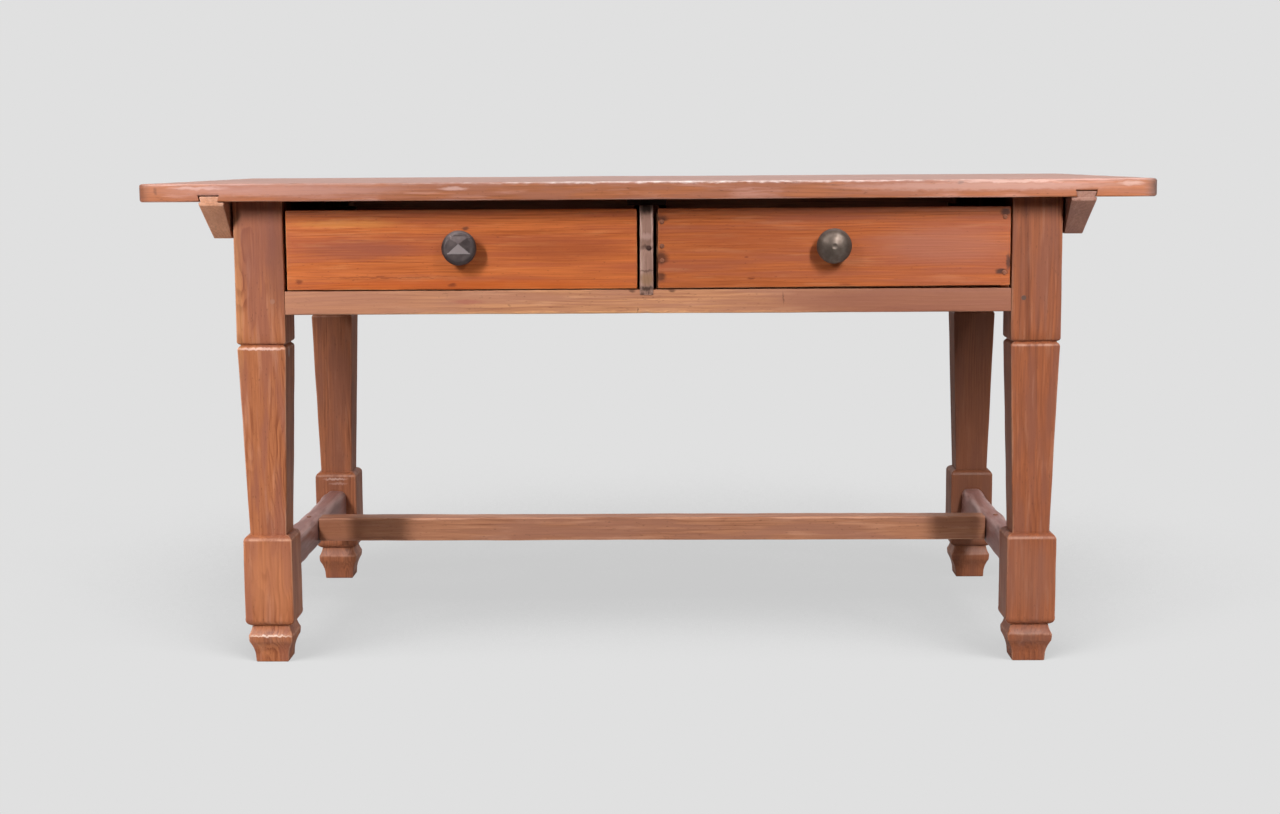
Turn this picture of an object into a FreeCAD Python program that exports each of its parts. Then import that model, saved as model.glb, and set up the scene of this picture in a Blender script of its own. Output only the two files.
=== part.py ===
import FreeCAD, Part
import math
import os
from types import SimpleNamespace

import Sketcher
from FreeCAD import Placement, Rotation, Vector

# A kitchen table with two drawers: a board top on sliding dovetail battens, four square legs with
# tapered shafts, an H-shaped stretcher, and drawers on wooden runners.
# Millimetres. X runs along the table, -Y is its drawer side, Z is up from the floor.

SIZES = {
    # Whole table
    "overall_height": 780,
    # Top, three boards edge to edge
    "top_length": 1590,
    "top_depth": 820,
    "top_thickness": 29,
    "top_edge_round": 6,
    "top_corner_round": 12,
    # Battens in dovetail grooves under the top
    "batten_leg_gap": 3,
    "batten_width": 41,
    "batten_foot_width": 30,
    "batten_drop": 59,
    "batten_lip": 6,
    "batten_setback": 4,
    "dovetail_offset": 23.5,
    "dovetail_neck": 28,
    "dovetail_width": 34,
    "dovetail_depth": 9.5,
    "dovetail_clearance": 0.2,
    "batten_peg_drop": 36,
    "batten_peg_inset": 18,
    # Legs: overhangs are from the top's edges in to the legs, insets are from the leg's square faces,
    # and heights are of each stretch from the floor up
    "end_overhang": 138,
    "front_overhang": 46,
    "leg_width": 80,
    "foot_base_inset": 13.75,
    "foot_height": 46,
    "foot_inset": 3.5,
    "cushion_height": 16,
    "neck_inset": 7,
    "neck_height": 15,
    "block_height": 129,
    "shoulder_height": 10,
    "shaft_foot_inset": 10.5,
    "shaft_top_inset": 2,
    "groove_height": 12,
    "groove_depth": 5.5,
    "block_below_rail": 36.6,
    # Front rail and aprons
    "apron_height": 181.4,
    "rail_height": 38.4,
    "rail_depth": 60,
    "rail_peg_rise": 22.4,
    "apron_thickness": 28,
    "apron_setback": 6,
    "apron_tenon_foot": 10,
    "apron_tenon_haunch": 20,
    # Tenons and pegs
    "tenon_thickness": 12,
    "tenon_shoulder": 6,
    "joint_clearance": 0.1,
    "mortise_end_gap": 1,
    "peg_diameter": 8,
    "pin_clearance": 0.1,
    # Stretchers
    "stretcher_width": 43,
    "side_stretcher_rise": 50,
    "side_stretcher_height": 51,
    "side_stretcher_round": 14,
    "long_stretcher_rise": 8.5,
    "long_stretcher_height": 43,
    "long_stretcher_depth": 43,
    "long_stretcher_round": 3,
    "stretcher_tenon_thickness": 14,
    "stretcher_tenon_shoulder": 8,
    "long_peg_length": 42,
    # Post between the drawers
    "divider_width": 22.5,
    "divider_depth": 22,
    "divider_proud": 3,
    "divider_lap": 8,
    "divider_nail_offset": 4,
    # Kicker, runners, guides and stops
    "kicker_width": 61,
    "kicker_thickness": 10,
    "kicker_setback": 12,
    "kicker_seat": 14,
    "runner_thickness": 24,
    "runner_width": 30,
    "centre_runner_width": 80,
    "tongue_length": 10,
    "tongue_thickness": 10,
    "tongue_inset": 5,
    "guide_width": 20,
    "guide_height": 34,
    "centre_guide_drop": 41,
    "stop_length": 30,
    "stop_height": 20,
    "stop_gap": 0.6,
    # Drawers
    "drawer_gap_outer": 2,
    "drawer_gap_inner": 3.75,
    "drawer_rail_gap": 1.2,
    "drawer_runner_gap": 0.4,
    "drawer_setback": 1,
    "drawer_head_gap": 4.6,
    "drawer_rear_gap": 53,
    "drawer_front_thickness": 22,
    "drawer_lip": 8,
    "drawer_side_thickness": 14,
    "drawer_side_drop": 8,
    "drawer_back_thickness": 14,
    "drawer_back_inset": 14,
    "drawer_back_drop": 8,
    "drawer_bottom_thickness": 9,
    "drawer_bottom_rise": 12,
    "drawer_bottom_groove": 6,
    # Iron nails and brads
    "nail_diameter": 3.2,
    "nail_length": 40,
    "nail_head_diameter": 8,
    "nail_head_height": 1.6,
    "nail_edge_inset": 9.5,
    "brad_diameter": 2.6,
    "brad_length": 32,
    "bottom_brad_length": 25,
    # Iron knobs: heights are from the drawer's face
    "knob_diameter": 56,
    "knob_reach": 38,
    "knob_face_diameter": 44,
    "knob_face_height": 31,
    "knob_rim_height": 24,
    "knob_neck_diameter": 20,
    "knob_neck_height": 11,
    "knob_base_diameter": 30,
    "knob_base_height": 4,
    "knob_button_diameter": 12,
    "knob_button_height": 1.5,
    "knob_pyramid_width": 31,
    "knob_pyramid_tip": 2.4,
    "knob_stem_diameter": 9.8,
    "knob_stem_end": 3,
    "nut_width": 16,
    "nut_thickness": 5,
    # How far every cut runs past the faces that it goes through
    "overrun": 5,
}

# Boards of the top, as shares of its depth; the back board is the rest
FRONT_BOARD_SHARE = 0.42
MIDDLE_BOARD_SHARE = 0.287

# Tenons and pegs in a leg, as shares of its width
TENON_LENGTH_SHARE = 0.5625
PEG_LENGTH_SHARE = 0.6
PEG_INSET_SHARE = 0.25
STRETCHER_PEG_SHARE = 0.725
BATTEN_PEG_SHARE = 0.37

# Rise of an arc over its chord
FOOT_BULGE_SHARE = 0.16
SHOULDER_BULGE_SHARE = 0.17
DIVIDER_BULGE_SHARE = 0.05
DOME_BULGE_SHARE = 0.06
RIM_BULGE_SHARE = 0.14
UNDERCUT_BULGE_SHARE = -0.12

# Places of pegs, nails and knobs along the pieces that carry them
APRON_PEG_SHARES = (0.28, 0.72)
BRAD_SHARES = (0.3, 0.5, 0.75)
BOTTOM_BRAD_SHARES = (-0.75, -0.25, 0.25, 0.75)
DIVIDER_NAIL_SHARE = 0.496
KNOB_HEIGHT_SHARE = 0.528
FRONT_NAIL_SHARES = {-1: (0.35, 0.53, 0.83), 1: (0.18, 0.87)}

LEFT_RIGHT = {-1: "left", 1: "right"}
FRONT_REAR = {-1: "front", 1: "rear"}


class Length:
    """A length with its present value and the sheet formula that it comes from."""

    def __init__(self, value, formula):
        self.value = value
        self.formula = formula

    def __add__(self, other):
        other = as_length(other)
        return Length(self.value + other.value, f"({self.formula} + {other.formula})")

    __radd__ = __add__

    def __sub__(self, other):
        other = as_length(other)
        return Length(self.value - other.value, f"({self.formula} - {other.formula})")

    def __rsub__(self, other):
        return as_length(other) - self

    def __mul__(self, factor):
        return Length(self.value * factor, f"({self.formula} * ({factor}))")

    __rmul__ = __mul__

    def __truediv__(self, divisor):
        return Length(self.value / divisor, f"({self.formula} / {divisor})")

    def __neg__(self):
        return self * -1


def as_length(number):
    """Zero is the one length that may come as a plain number."""
    return number if isinstance(number, Length) else Length(number, str(number))


def span_of(one, other):
    """Straight distance with these two legs."""
    return Length(math.hypot(one.value, other.value), f"sqrt({one.formula}^2 + {other.formula}^2)")


doc = FreeCAD.newDocument("kitchen_table")
sheet = doc.addObject("Spreadsheet::Sheet", "Sizes")
for row, (name, number) in enumerate(SIZES.items(), start=1):
    sheet.set(f"A{row}", name)
    sheet.set(f"B{row}", str(number))
    sheet.setAlias(f"B{row}", name)
doc.recompute()
size = SimpleNamespace(**{name: Length(float(sheet.get(name)), f"Sizes.{name}") for name in SIZES})

# Levels and planes that several pieces share
underside = size.overall_height - size.top_thickness
leg_face_x = size.top_length / 2 - size.end_overhang
leg_face_y = size.top_depth / 2 - size.front_overhang
leg_inner_x = leg_face_x - size.leg_width
leg_inner_y = leg_face_y - size.leg_width
leg_axis_x = leg_face_x - size.leg_width / 2
leg_axis_y = leg_face_y - size.leg_width / 2
tenon_length = size.leg_width * TENON_LENGTH_SHARE
peg_length = size.leg_width * PEG_LENGTH_SHARE
peg_inset = size.leg_width * PEG_INSET_SHARE
stretcher_peg_length = size.leg_width * STRETCHER_PEG_SHARE
front_plane = -leg_face_y
rail_bottom = underside - size.apron_height
rail_top = rail_bottom + size.rail_height
rail_back = front_plane + size.rail_depth
apron_outer_x = leg_face_x - size.apron_setback
apron_inner_x = apron_outer_x - size.apron_thickness
apron_outer_y = leg_face_y - size.apron_setback
apron_inner_y = apron_outer_y - size.apron_thickness
kicker_bottom = underside - size.kicker_thickness
opening_height = kicker_bottom - rail_top
runner_bottom = rail_top - size.runner_thickness
block_bottom = size.foot_height + size.cushion_height + size.neck_height
side_stretcher_bottom = block_bottom + size.side_stretcher_rise
side_stretcher_top = side_stretcher_bottom + size.side_stretcher_height
long_stretcher_bottom = side_stretcher_bottom + size.long_stretcher_rise
stretcher_inner_x = leg_axis_x - size.stretcher_width / 2
stretcher_outer_x = leg_axis_x + size.stretcher_width / 2
batten_inner_x = leg_face_x + size.batten_leg_gap
divider_side = size.divider_width / 2
drawer_width = leg_inner_x - divider_side - size.drawer_gap_outer - size.drawer_gap_inner
drawer_centre = divider_side + size.drawer_gap_inner + drawer_width / 2
drawer_face = front_plane + size.drawer_setback
drawer_end = apron_inner_y - size.drawer_rear_gap

pieces = []
homes = {}


def bind(item, prop, length):
    item.setExpression(prop, as_length(length).formula)


def place(item, at, turn=Rotation()):
    """Turn an item and tie its place to the sheet."""
    item.Placement = Placement(Vector(), turn)
    for axis, length in zip("xyz", at):
        bind(item, f"Placement.Base.{axis}", length)


def new_body(label, at=(0, 0, 0)):
    """Start a piece whose own origin lies at a point of the table."""
    body = doc.addObject("PartDesign::Body", label)
    body.Label = label
    place(body, at)
    homes[body.Name] = at
    pieces.append(body)
    return body


def local(body, point):
    """A point of the table, seen from the piece's own origin."""
    return [as_length(length) - home for length, home in zip(point, homes[body.Name])]


def block(body, name, x, y, z, kind="AdditiveBox"):
    """A box between two places on each axis of the table, given in either order."""
    sides = [sorted(map(as_length, side), key=lambda length: length.value) for side in (x, y, z)]
    box = body.newObject(f"PartDesign::{kind}", name)
    place(box, local(body, [low for low, high in sides]))
    for prop, (low, high) in zip(("Length", "Width", "Height"), sides):
        bind(box, prop, high - low)


def cut_block(body, name, x, y, z):
    block(body, name, x, y, z, "SubtractiveBox")


def bore(body, name, start, along, diameter, depth, end_gap=size.mortise_end_gap):
    """A hole for a pin of this size that starts at a face and goes in along a direction."""
    entry = [as_length(length) - size.overrun * step for length, step in zip(start, along)]
    hole = body.newObject("PartDesign::SubtractiveCylinder", name)
    place(hole, local(body, entry), Rotation(Vector(0, 0, 1), along))
    bind(hole, "Radius", diameter / 2 + size.pin_clearance)
    bind(hole, "Height", size.overrun + depth + end_gap)


def draw_run(sketch, start, end):
    """One straight run or arc of an outline; returns its number and its first and last ends."""
    x0, y0, _ = start
    x1, y1, bulge = end
    first = Vector(x0.value, y0.value, 0)
    last = Vector(x1.value, y1.value, 0)
    if not bulge:
        return sketch.addGeometry(Part.LineSegment(first, last), False), 1, 2
    chord = last - first
    rise = abs(bulge)
    radius = span_of(x1 - x0, y1 - y0) * (1 / (8 * rise) + rise / 2)
    turn = math.copysign(1, bulge)
    inward = Vector(-chord.y, chord.x, 0).normalize() * turn
    centre = (first + last) * 0.5 + inward * (radius.value - rise * chord.Length)
    ends = (first, last) if turn > 0 else (last, first)
    angles = [math.atan2(point.y - centre.y, point.x - centre.x) for point in ends]
    if angles[1] < angles[0]:
        angles[1] += 2 * math.pi
    circle = Part.Circle(centre, Vector(0, 0, 1), radius.value)
    run = sketch.addGeometry(Part.ArcOfCircle(circle, *angles), False)
    fixed = sketch.addConstraint(Sketcher.Constraint("Radius", run, radius.value))
    bind(sketch, f"Constraints[{fixed}]", radius)
    return (run, 1, 2) if turn > 0 else (run, 2, 1)


def draw_loop(sketch, corners):
    """A closed outline, drawn anticlockwise. A corner's third value makes the run that ends there
    an arc, and says how far it bulges outward as a share of its chord."""
    corners = [(as_length(corner[0]), as_length(corner[1]), sum(corner[2:])) for corner in corners]
    runs = [draw_run(sketch, start, end) for start, end in zip(corners, corners[1:] + corners[:1])]
    for (run, _, last), (following, first, _) in zip(runs, runs[1:] + runs[:1]):
        sketch.addConstraint(Sketcher.Constraint("Coincident", run, last, following, first))
    for (across, up, _), (run, first, _) in zip(corners, runs):
        for kind, length in (("DistanceX", across), ("DistanceY", up)):
            fixed = sketch.addConstraint(Sketcher.Constraint(kind, -1, 1, run, first, length.value))
            bind(sketch, f"Constraints[{fixed}]", length)


def outline(body, name, plane, *loops):
    """A sketch on one of the piece's own origin planes."""
    sketch = body.newObject("Sketcher::SketchObject", name)
    support = next(item for item in body.Origin.OriginFeatures if item.Role == plane)
    sketch.AttachmentSupport = (support, "")
    sketch.MapMode = "FlatFace"
    for loop in loops:
        draw_loop(sketch, loop)
    return sketch


def through(body, name, kind, sketch, depth):
    """Pad or pocket an outline equally to both sides of its plane."""
    feature = body.newObject(f"PartDesign::{kind}", name)
    feature.Profile = sketch
    feature.SideType = "Symmetric"
    bind(feature, "Length", depth)


def mirrored(half):
    """Close the right half of an outline, drawn upward, with its mirror image."""
    left = []
    bulge = 0
    for corner in reversed(half):
        left.append((-as_length(corner[0]), corner[1], bulge))
        bulge = sum(corner[2:])
    return half + left


def rectangle(x0, y0, x1, y1):
    return [(x0, y0), (x1, y0), (x1, y1), (x0, y1)]


def round_edges(body, name, radius, wanted):
    """Round those edges of the piece so far whose middle point is wanted."""
    doc.recompute()
    base = body.Tip
    edges = [f"Edge{number}" for number, edge in enumerate(base.Shape.Edges, start=1)
             if wanted(edge.valueAt((edge.FirstParameter + edge.LastParameter) / 2))]
    fillet = body.newObject("PartDesign::Fillet", name)
    fillet.Base = (base, edges)
    bind(fillet, "Radius", radius)


def meets(value, length):
    """Whether a measured place is the place that a length gives."""
    return math.isclose(value, as_length(length).value, abs_tol=1e-6)


def peg_hole(body, name, start, along, length=peg_length):
    bore(body, name, start, along, size.peg_diameter, length)


def rod(name, start, along, diameter, length):
    """A round pin that goes in from its start along a direction."""
    pin = doc.addObject("Part::Cylinder", name)
    place(pin, start, Rotation(Vector(0, 0, 1), along))
    bind(pin, "Radius", diameter / 2)
    bind(pin, "Height", length)
    return pin


def peg(name, start, along, length=peg_length):
    return rod(name, start, along, size.peg_diameter, length)


def group(label, solids):
    """Like fasteners that share one piece name."""
    compound = doc.addObject("Part::Compound", label)
    compound.Label = label
    compound.Links = solids
    pieces.append(compound)


def headed_nail(name, start, along):
    """A nail with a low forged head that sits on the face where it goes in."""
    shank = rod(f"{name}_shank", start, along, size.nail_diameter, size.nail_length)
    head = doc.addObject("Part::Cone", f"{name}_head")
    place(head, start, Rotation(Vector(0, 0, 1), -along))
    bind(head, "Radius1", size.nail_head_diameter / 2)
    bind(head, "Radius2", size.nail_head_diameter / 4)
    bind(head, "Height", size.nail_head_height)
    nail = doc.addObject("Part::Fuse", name)
    nail.Base = shank
    nail.Tool = head
    return nail


# Top boards, each with its stretch of the two dovetail grooves

def top_board(name, front, back, edge_sides):
    """One board of the top; edge_sides are the long sides that are edges of the whole top."""
    half = size.top_length / 2
    board = new_body(f"top_board_{name}", (0, front, underside))
    block(board, "plank", (-half, half), (front, back), (underside, size.overall_height))
    edges = [side - front for side in edge_sides]

    def on_outside(point):
        return meets(abs(point.x), half) or any(meets(point.y, edge) for edge in edges)

    if edges:
        round_edges(board, "corner_round", size.top_corner_round,
                    lambda point: meets(point.z, size.top_thickness / 2) and meets(abs(point.x), half)
                    and any(meets(point.y, edge) for edge in edges))
    round_edges(board, "edge_round", size.top_edge_round,
                lambda point: on_outside(point) and not meets(point.z, size.top_thickness / 2))
    neck = size.dovetail_neck / 2 + size.dovetail_clearance
    wide = size.dovetail_width / 2 + size.dovetail_clearance
    centre = batten_inner_x + size.dovetail_offset
    depth = size.dovetail_depth + size.dovetail_clearance
    grooves = [[(middle - neck, 0), (middle + neck, 0), (middle + wide, depth), (middle - wide, depth)]
               for middle in (-centre, centre)]
    sketch = outline(board, "dovetail_section", "XZ_Plane", *grooves)
    through(board, "dovetail_grooves", "Pocket", sketch, (back - front + size.overrun) * 2)


top_front = -size.top_depth / 2
first_joint = top_front + size.top_depth * FRONT_BOARD_SHARE
second_joint = first_joint + size.top_depth * MIDDLE_BOARD_SHARE
top_back = size.top_depth / 2
top_board("front", top_front, first_joint, [top_front])
top_board("middle", first_joint, second_joint, [])
top_board("back", second_joint, top_back, [top_back])


# Battens, held in the top by their dovetails and to the legs by pegs

batten_peg_x = batten_inner_x + (size.batten_width + size.batten_foot_width) / 2
batten_peg_length = batten_peg_x - leg_face_x + size.leg_width * BATTEN_PEG_SHARE
batten_peg_y = leg_face_y - size.batten_peg_inset
batten_peg_z = underside - size.batten_peg_drop


def batten_peg_start(sx, sy):
    return batten_peg_x * sx, batten_peg_y * sy, batten_peg_z


def batten(sx):
    body = new_body(f"batten_{LEFT_RIGHT[sx]}", (batten_inner_x * sx, 0, underside))
    neck = size.dovetail_neck / 2
    wide = size.dovetail_width / 2
    middle = size.dovetail_offset
    section = [(0, 0), (0, -size.batten_drop), (size.batten_foot_width, -size.batten_drop),
               (size.batten_width, 0), (middle + neck, 0), (middle + wide, size.dovetail_depth),
               (middle - wide, size.dovetail_depth), (middle - neck, 0)]
    if sx < 0:
        section = [(-as_length(across), up) for across, up in reversed(section)]
    half = size.top_depth / 2 - size.batten_setback
    through(body, "length", "Pad", outline(body, "section", "XZ_Plane", section), half * 2)
    past = half + size.overrun
    low = -(size.batten_drop + size.overrun)
    run = size.batten_drop + size.overrun - size.batten_lip
    front_cut = [(-half, -size.batten_lip), (-past, -size.batten_lip), (-past, low), (run - half, low)]
    back_cut = [(-across, up) for across, up in reversed(front_cut)]
    ends = outline(body, "undercut_ends", "YZ_Plane", front_cut, back_cut)
    through(body, "undercuts", "Pocket", ends, (size.batten_width + size.overrun) * 2)
    for sy in FRONT_REAR:
        peg_hole(body, "peg_hole", batten_peg_start(sx, sy), Vector(-sx, 0, 0), batten_peg_length)


for sx in LEFT_RIGHT:
    batten(sx)
group("batten_pegs", [peg("batten_peg", batten_peg_start(sx, sy), Vector(-sx, 0, 0), batten_peg_length)
                      for sx in LEFT_RIGHT for sy in FRONT_REAR])


# Tenons of the rail, aprons and stretchers; each is a pair of places on each axis

def across_middle(middle, thickness):
    return middle - thickness / 2, middle + thickness / 2


def rail_tenon(sx):
    return ((leg_inner_x * sx, (leg_inner_x + tenon_length) * sx),
            across_middle(front_plane + size.rail_depth / 2, size.tenon_thickness),
            (rail_bottom + size.tenon_shoulder, rail_top - size.tenon_shoulder))


apron_tenon_z = (rail_bottom + size.apron_tenon_foot, underside - size.apron_tenon_haunch)


def rear_apron_tenon(sx):
    return ((leg_inner_x * sx, (leg_inner_x + tenon_length) * sx),
            across_middle(apron_inner_y + size.apron_thickness / 2, size.tenon_thickness),
            apron_tenon_z)


def side_apron_tenon(sx, sy):
    return (across_middle((apron_inner_x + size.apron_thickness / 2) * sx, size.tenon_thickness),
            (leg_inner_y * sy, (leg_inner_y + tenon_length) * sy),
            apron_tenon_z)


def side_stretcher_tenon(sx, sy):
    return (across_middle(leg_axis_x * sx, size.stretcher_tenon_thickness),
            (leg_inner_y * sy, (leg_inner_y + tenon_length) * sy),
            (side_stretcher_bottom + size.stretcher_tenon_shoulder,
             side_stretcher_top - size.stretcher_tenon_shoulder))


def long_stretcher_tenon(sx):
    top = long_stretcher_bottom + size.long_stretcher_height
    return ((stretcher_inner_x * sx, stretcher_outer_x * sx),
            across_middle(as_length(0), size.stretcher_tenon_thickness),
            (long_stretcher_bottom + size.stretcher_tenon_shoulder, top - size.stretcher_tenon_shoulder))


def mortise(body, name, tenon, axis):
    """A slot round a tenon that goes in along this axis, open at its shoulder."""
    sides = []
    for number, (start, end) in enumerate(tenon):
        step = math.copysign(1, end.value - start.value)
        if number == axis:
            sides.append((start - size.overrun * step, end + size.mortise_end_gap * step))
        else:
            sides.append((start - size.joint_clearance * step, end + size.joint_clearance * step))
    cut_block(body, name, *sides)


# Pegs that go in through the legs' outer faces and across the tenons

rail_peg_z = rail_bottom + size.rail_peg_rise
apron_peg_heights = [rail_bottom + size.apron_height * share for share in APRON_PEG_SHARES]
stretcher_peg_z = side_stretcher_bottom + size.side_stretcher_height / 2


def rail_peg_start(sx):
    return (leg_inner_x + peg_inset) * sx, front_plane, rail_peg_z


def rear_apron_peg_starts(sx):
    return [((leg_inner_x + peg_inset) * sx, leg_face_y, height) for height in apron_peg_heights]


def side_apron_peg_starts(sx, sy):
    return [(leg_face_x * sx, (leg_inner_y + peg_inset) * sy, height) for height in apron_peg_heights]


def stretcher_peg_start(sx, sy):
    return leg_face_x * sx, (leg_inner_y + peg_inset) * sy, stretcher_peg_z


def long_peg_start(sx):
    return leg_axis_x * sx, as_length(0), side_stretcher_top


INTO_BACK = Vector(0, 1, 0)
INTO_FRONT = Vector(0, -1, 0)
DOWN = Vector(0, 0, -1)
UP = Vector(0, 0, 1)


# Legs: the same outline seen from the front and from the side

def leg_outline():
    side = size.leg_width / 2
    block_top = block_bottom + size.block_height
    upper_block_bottom = rail_bottom - size.block_below_rail
    return mirrored([
        (side - size.foot_base_inset, 0),
        (side - size.foot_inset, size.foot_height),
        (side - size.neck_inset, size.foot_height + size.cushion_height, FOOT_BULGE_SHARE),
        (side, block_bottom),
        (side, block_top),
        (side - size.shaft_foot_inset, block_top + size.shoulder_height, SHOULDER_BULGE_SHARE),
        (side - size.shaft_top_inset, upper_block_bottom - size.groove_height),
        (side - size.groove_depth, upper_block_bottom - size.groove_height / 2),
        (side, upper_block_bottom),
        (side, underside),
    ])


def leg(sx, sy):
    body = new_body(f"leg_{FRONT_REAR[sy]}_{LEFT_RIGHT[sx]}", (leg_axis_x * sx, leg_axis_y * sy, 0))
    front_view = outline(body, "front_view", "XZ_Plane", leg_outline())
    through(body, "square_leg", "Pad", front_view, size.leg_width)
    past = size.leg_width / 2 + size.overrun
    waste = rectangle(-past, -size.overrun, past, underside + size.overrun)
    side_view = outline(body, "side_view", "YZ_Plane", waste, leg_outline())
    through(body, "side_waste", "Pocket", side_view, (size.leg_width + size.overrun) * 2)
    inward_x = Vector(-sx, 0, 0)
    if sy < 0:
        mortise(body, "rail_mortise", rail_tenon(sx), 0)
        peg_hole(body, "rail_peg_hole", rail_peg_start(sx), INTO_BACK)
    else:
        mortise(body, "rear_apron_mortise", rear_apron_tenon(sx), 0)
        for start in rear_apron_peg_starts(sx):
            peg_hole(body, "rear_apron_peg_hole", start, INTO_FRONT)
    mortise(body, "side_apron_mortise", side_apron_tenon(sx, sy), 1)
    for start in side_apron_peg_starts(sx, sy):
        peg_hole(body, "side_apron_peg_hole", start, inward_x)
    mortise(body, "stretcher_mortise", side_stretcher_tenon(sx, sy), 1)
    peg_hole(body, "stretcher_peg_hole", stretcher_peg_start(sx, sy), inward_x, stretcher_peg_length)
    peg_hole(body, "batten_peg_hole", batten_peg_start(sx, sy), inward_x, batten_peg_length)


for sx in LEFT_RIGHT:
    for sy in FRONT_REAR:
        leg(sx, sy)


# Runners, which sit in the front rail and the rear apron by tongues

def runner_sides(sx):
    """Left and right faces of a runner where it meets the rail and the rear apron."""
    if sx:
        return leg_inner_x * sx, (leg_inner_x - size.runner_width) * sx
    return across_middle(as_length(0), size.centre_runner_width)


def runner_tongues(sx):
    low, high = sorted(runner_sides(sx), key=lambda length: length.value)
    across = (low + size.tongue_inset, high - size.tongue_inset)
    height = across_middle(rail_top - size.runner_thickness / 2, size.tongue_thickness)
    return [(across, (rail_back, rail_back - size.tongue_length), height),
            (across, (apron_inner_y, apron_inner_y + size.tongue_length), height)]


RUNNERS = {-1: "left", 0: "centre", 1: "right"}


def runner(sx):
    body = new_body(f"runner_{RUNNERS[sx]}", (0, rail_back, runner_bottom))
    block(body, "plank", runner_sides(sx), (rail_back, apron_inner_y), (runner_bottom, rail_top))
    if sx:
        block(body, "wing_between_legs", (leg_inner_x * sx, apron_inner_x * sx), (-leg_inner_y, leg_inner_y),
              (runner_bottom, rail_top))
    for tongue in runner_tongues(sx):
        block(body, "tongue", *tongue)


for sx in RUNNERS:
    runner(sx)


# Front rail and aprons

def front_rail():
    body = new_body("front_rail", (0, front_plane, rail_bottom))
    block(body, "plank", (-leg_inner_x, leg_inner_x), (front_plane, rail_back), (rail_bottom, rail_top))
    for sx in LEFT_RIGHT:
        block(body, "tenon", *rail_tenon(sx))
        peg_hole(body, "peg_hole", rail_peg_start(sx), INTO_BACK)
    for sx in RUNNERS:
        mortise(body, "runner_slot", runner_tongues(sx)[0], 1)


def rear_apron():
    body = new_body("apron_rear", (0, apron_inner_y, rail_bottom))
    block(body, "plank", (-leg_inner_x, leg_inner_x), (apron_inner_y, apron_outer_y),
          (rail_bottom, underside))
    for sx in LEFT_RIGHT:
        block(body, "tenon", *rear_apron_tenon(sx))
        for start in rear_apron_peg_starts(sx):
            peg_hole(body, "peg_hole", start, INTO_FRONT)
    for sx in RUNNERS:
        mortise(body, "runner_slot", runner_tongues(sx)[1], 1)
    side = size.kicker_width / 2 + size.joint_clearance
    cut_block(body, "kicker_notch", (-side, side),
              (apron_inner_y - size.overrun, apron_inner_y + size.kicker_seat),
              (kicker_bottom, underside + size.overrun))


def side_apron(sx):
    body = new_body(f"apron_{LEFT_RIGHT[sx]}", (apron_inner_x * sx, 0, rail_bottom))
    block(body, "plank", (apron_inner_x * sx, apron_outer_x * sx), (-leg_inner_y, leg_inner_y),
          (rail_bottom, underside))
    for sy in FRONT_REAR:
        block(body, "tenon", *side_apron_tenon(sx, sy))
        for start in side_apron_peg_starts(sx, sy):
            peg_hole(body, "peg_hole", start, Vector(-sx, 0, 0))


front_rail()
rear_apron()
for sx in LEFT_RIGHT:
    side_apron(sx)


# Stretchers: worn round on top at the sides, with the long one tenoned through them

def side_stretcher(sx):
    body = new_body(f"stretcher_{LEFT_RIGHT[sx]}", (leg_axis_x * sx, 0, side_stretcher_bottom))
    block(body, "bar", (stretcher_inner_x * sx, stretcher_outer_x * sx), (-leg_inner_y, leg_inner_y),
          (side_stretcher_bottom, side_stretcher_top))
    round_edges(body, "worn_top", size.side_stretcher_round,
                lambda point: meets(point.y, 0) and meets(point.z, size.side_stretcher_height))
    for sy in FRONT_REAR:
        block(body, "tenon", *side_stretcher_tenon(sx, sy))
        peg_hole(body, "peg_hole", stretcher_peg_start(sx, sy), Vector(-sx, 0, 0), stretcher_peg_length)
    tenon = long_stretcher_tenon(sx)
    across = [face + size.overrun * math.copysign(1, face.value - leg_axis_x.value * sx) for face in tenon[0]]
    gap = size.joint_clearance
    cut_block(body, "through_mortise", across, *((low - gap, high + gap) for low, high in tenon[1:]))
    peg_hole(body, "long_peg_hole", long_peg_start(sx), DOWN, size.long_peg_length)


def long_stretcher():
    side = size.long_stretcher_depth / 2
    top = long_stretcher_bottom + size.long_stretcher_height
    body = new_body("stretcher_long", (0, 0, long_stretcher_bottom))
    block(body, "bar", (-stretcher_inner_x, stretcher_inner_x), (-side, side),
          (long_stretcher_bottom, top))
    round_edges(body, "worn_edges", size.long_stretcher_round, lambda point: meets(point.x, 0))
    for sx in LEFT_RIGHT:
        block(body, "tenon", *long_stretcher_tenon(sx))
        peg_hole(body, "long_peg_hole", long_peg_start(sx), DOWN, size.long_peg_length)


for sx in LEFT_RIGHT:
    side_stretcher(sx)
long_stretcher()

group("rail_pegs", [peg("rail_peg", rail_peg_start(sx), INTO_BACK) for sx in LEFT_RIGHT])
group("rear_apron_pegs", [peg("rear_apron_peg", start, INTO_FRONT)
                          for sx in LEFT_RIGHT for start in rear_apron_peg_starts(sx)])
group("side_apron_pegs", [peg("side_apron_peg", start, Vector(-sx, 0, 0))
                          for sx in LEFT_RIGHT for sy in FRONT_REAR
                          for start in side_apron_peg_starts(sx, sy)])
leg_pegs = [peg("stretcher_peg", stretcher_peg_start(sx, sy), Vector(-sx, 0, 0), stretcher_peg_length)
            for sx in LEFT_RIGHT for sy in FRONT_REAR]
long_pegs = [peg("long_peg", long_peg_start(sx), DOWN, size.long_peg_length) for sx in LEFT_RIGHT]
group("stretcher_pegs", leg_pegs + long_pegs)


# Post between the drawers, its front worn into two swells with a nail between them

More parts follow.
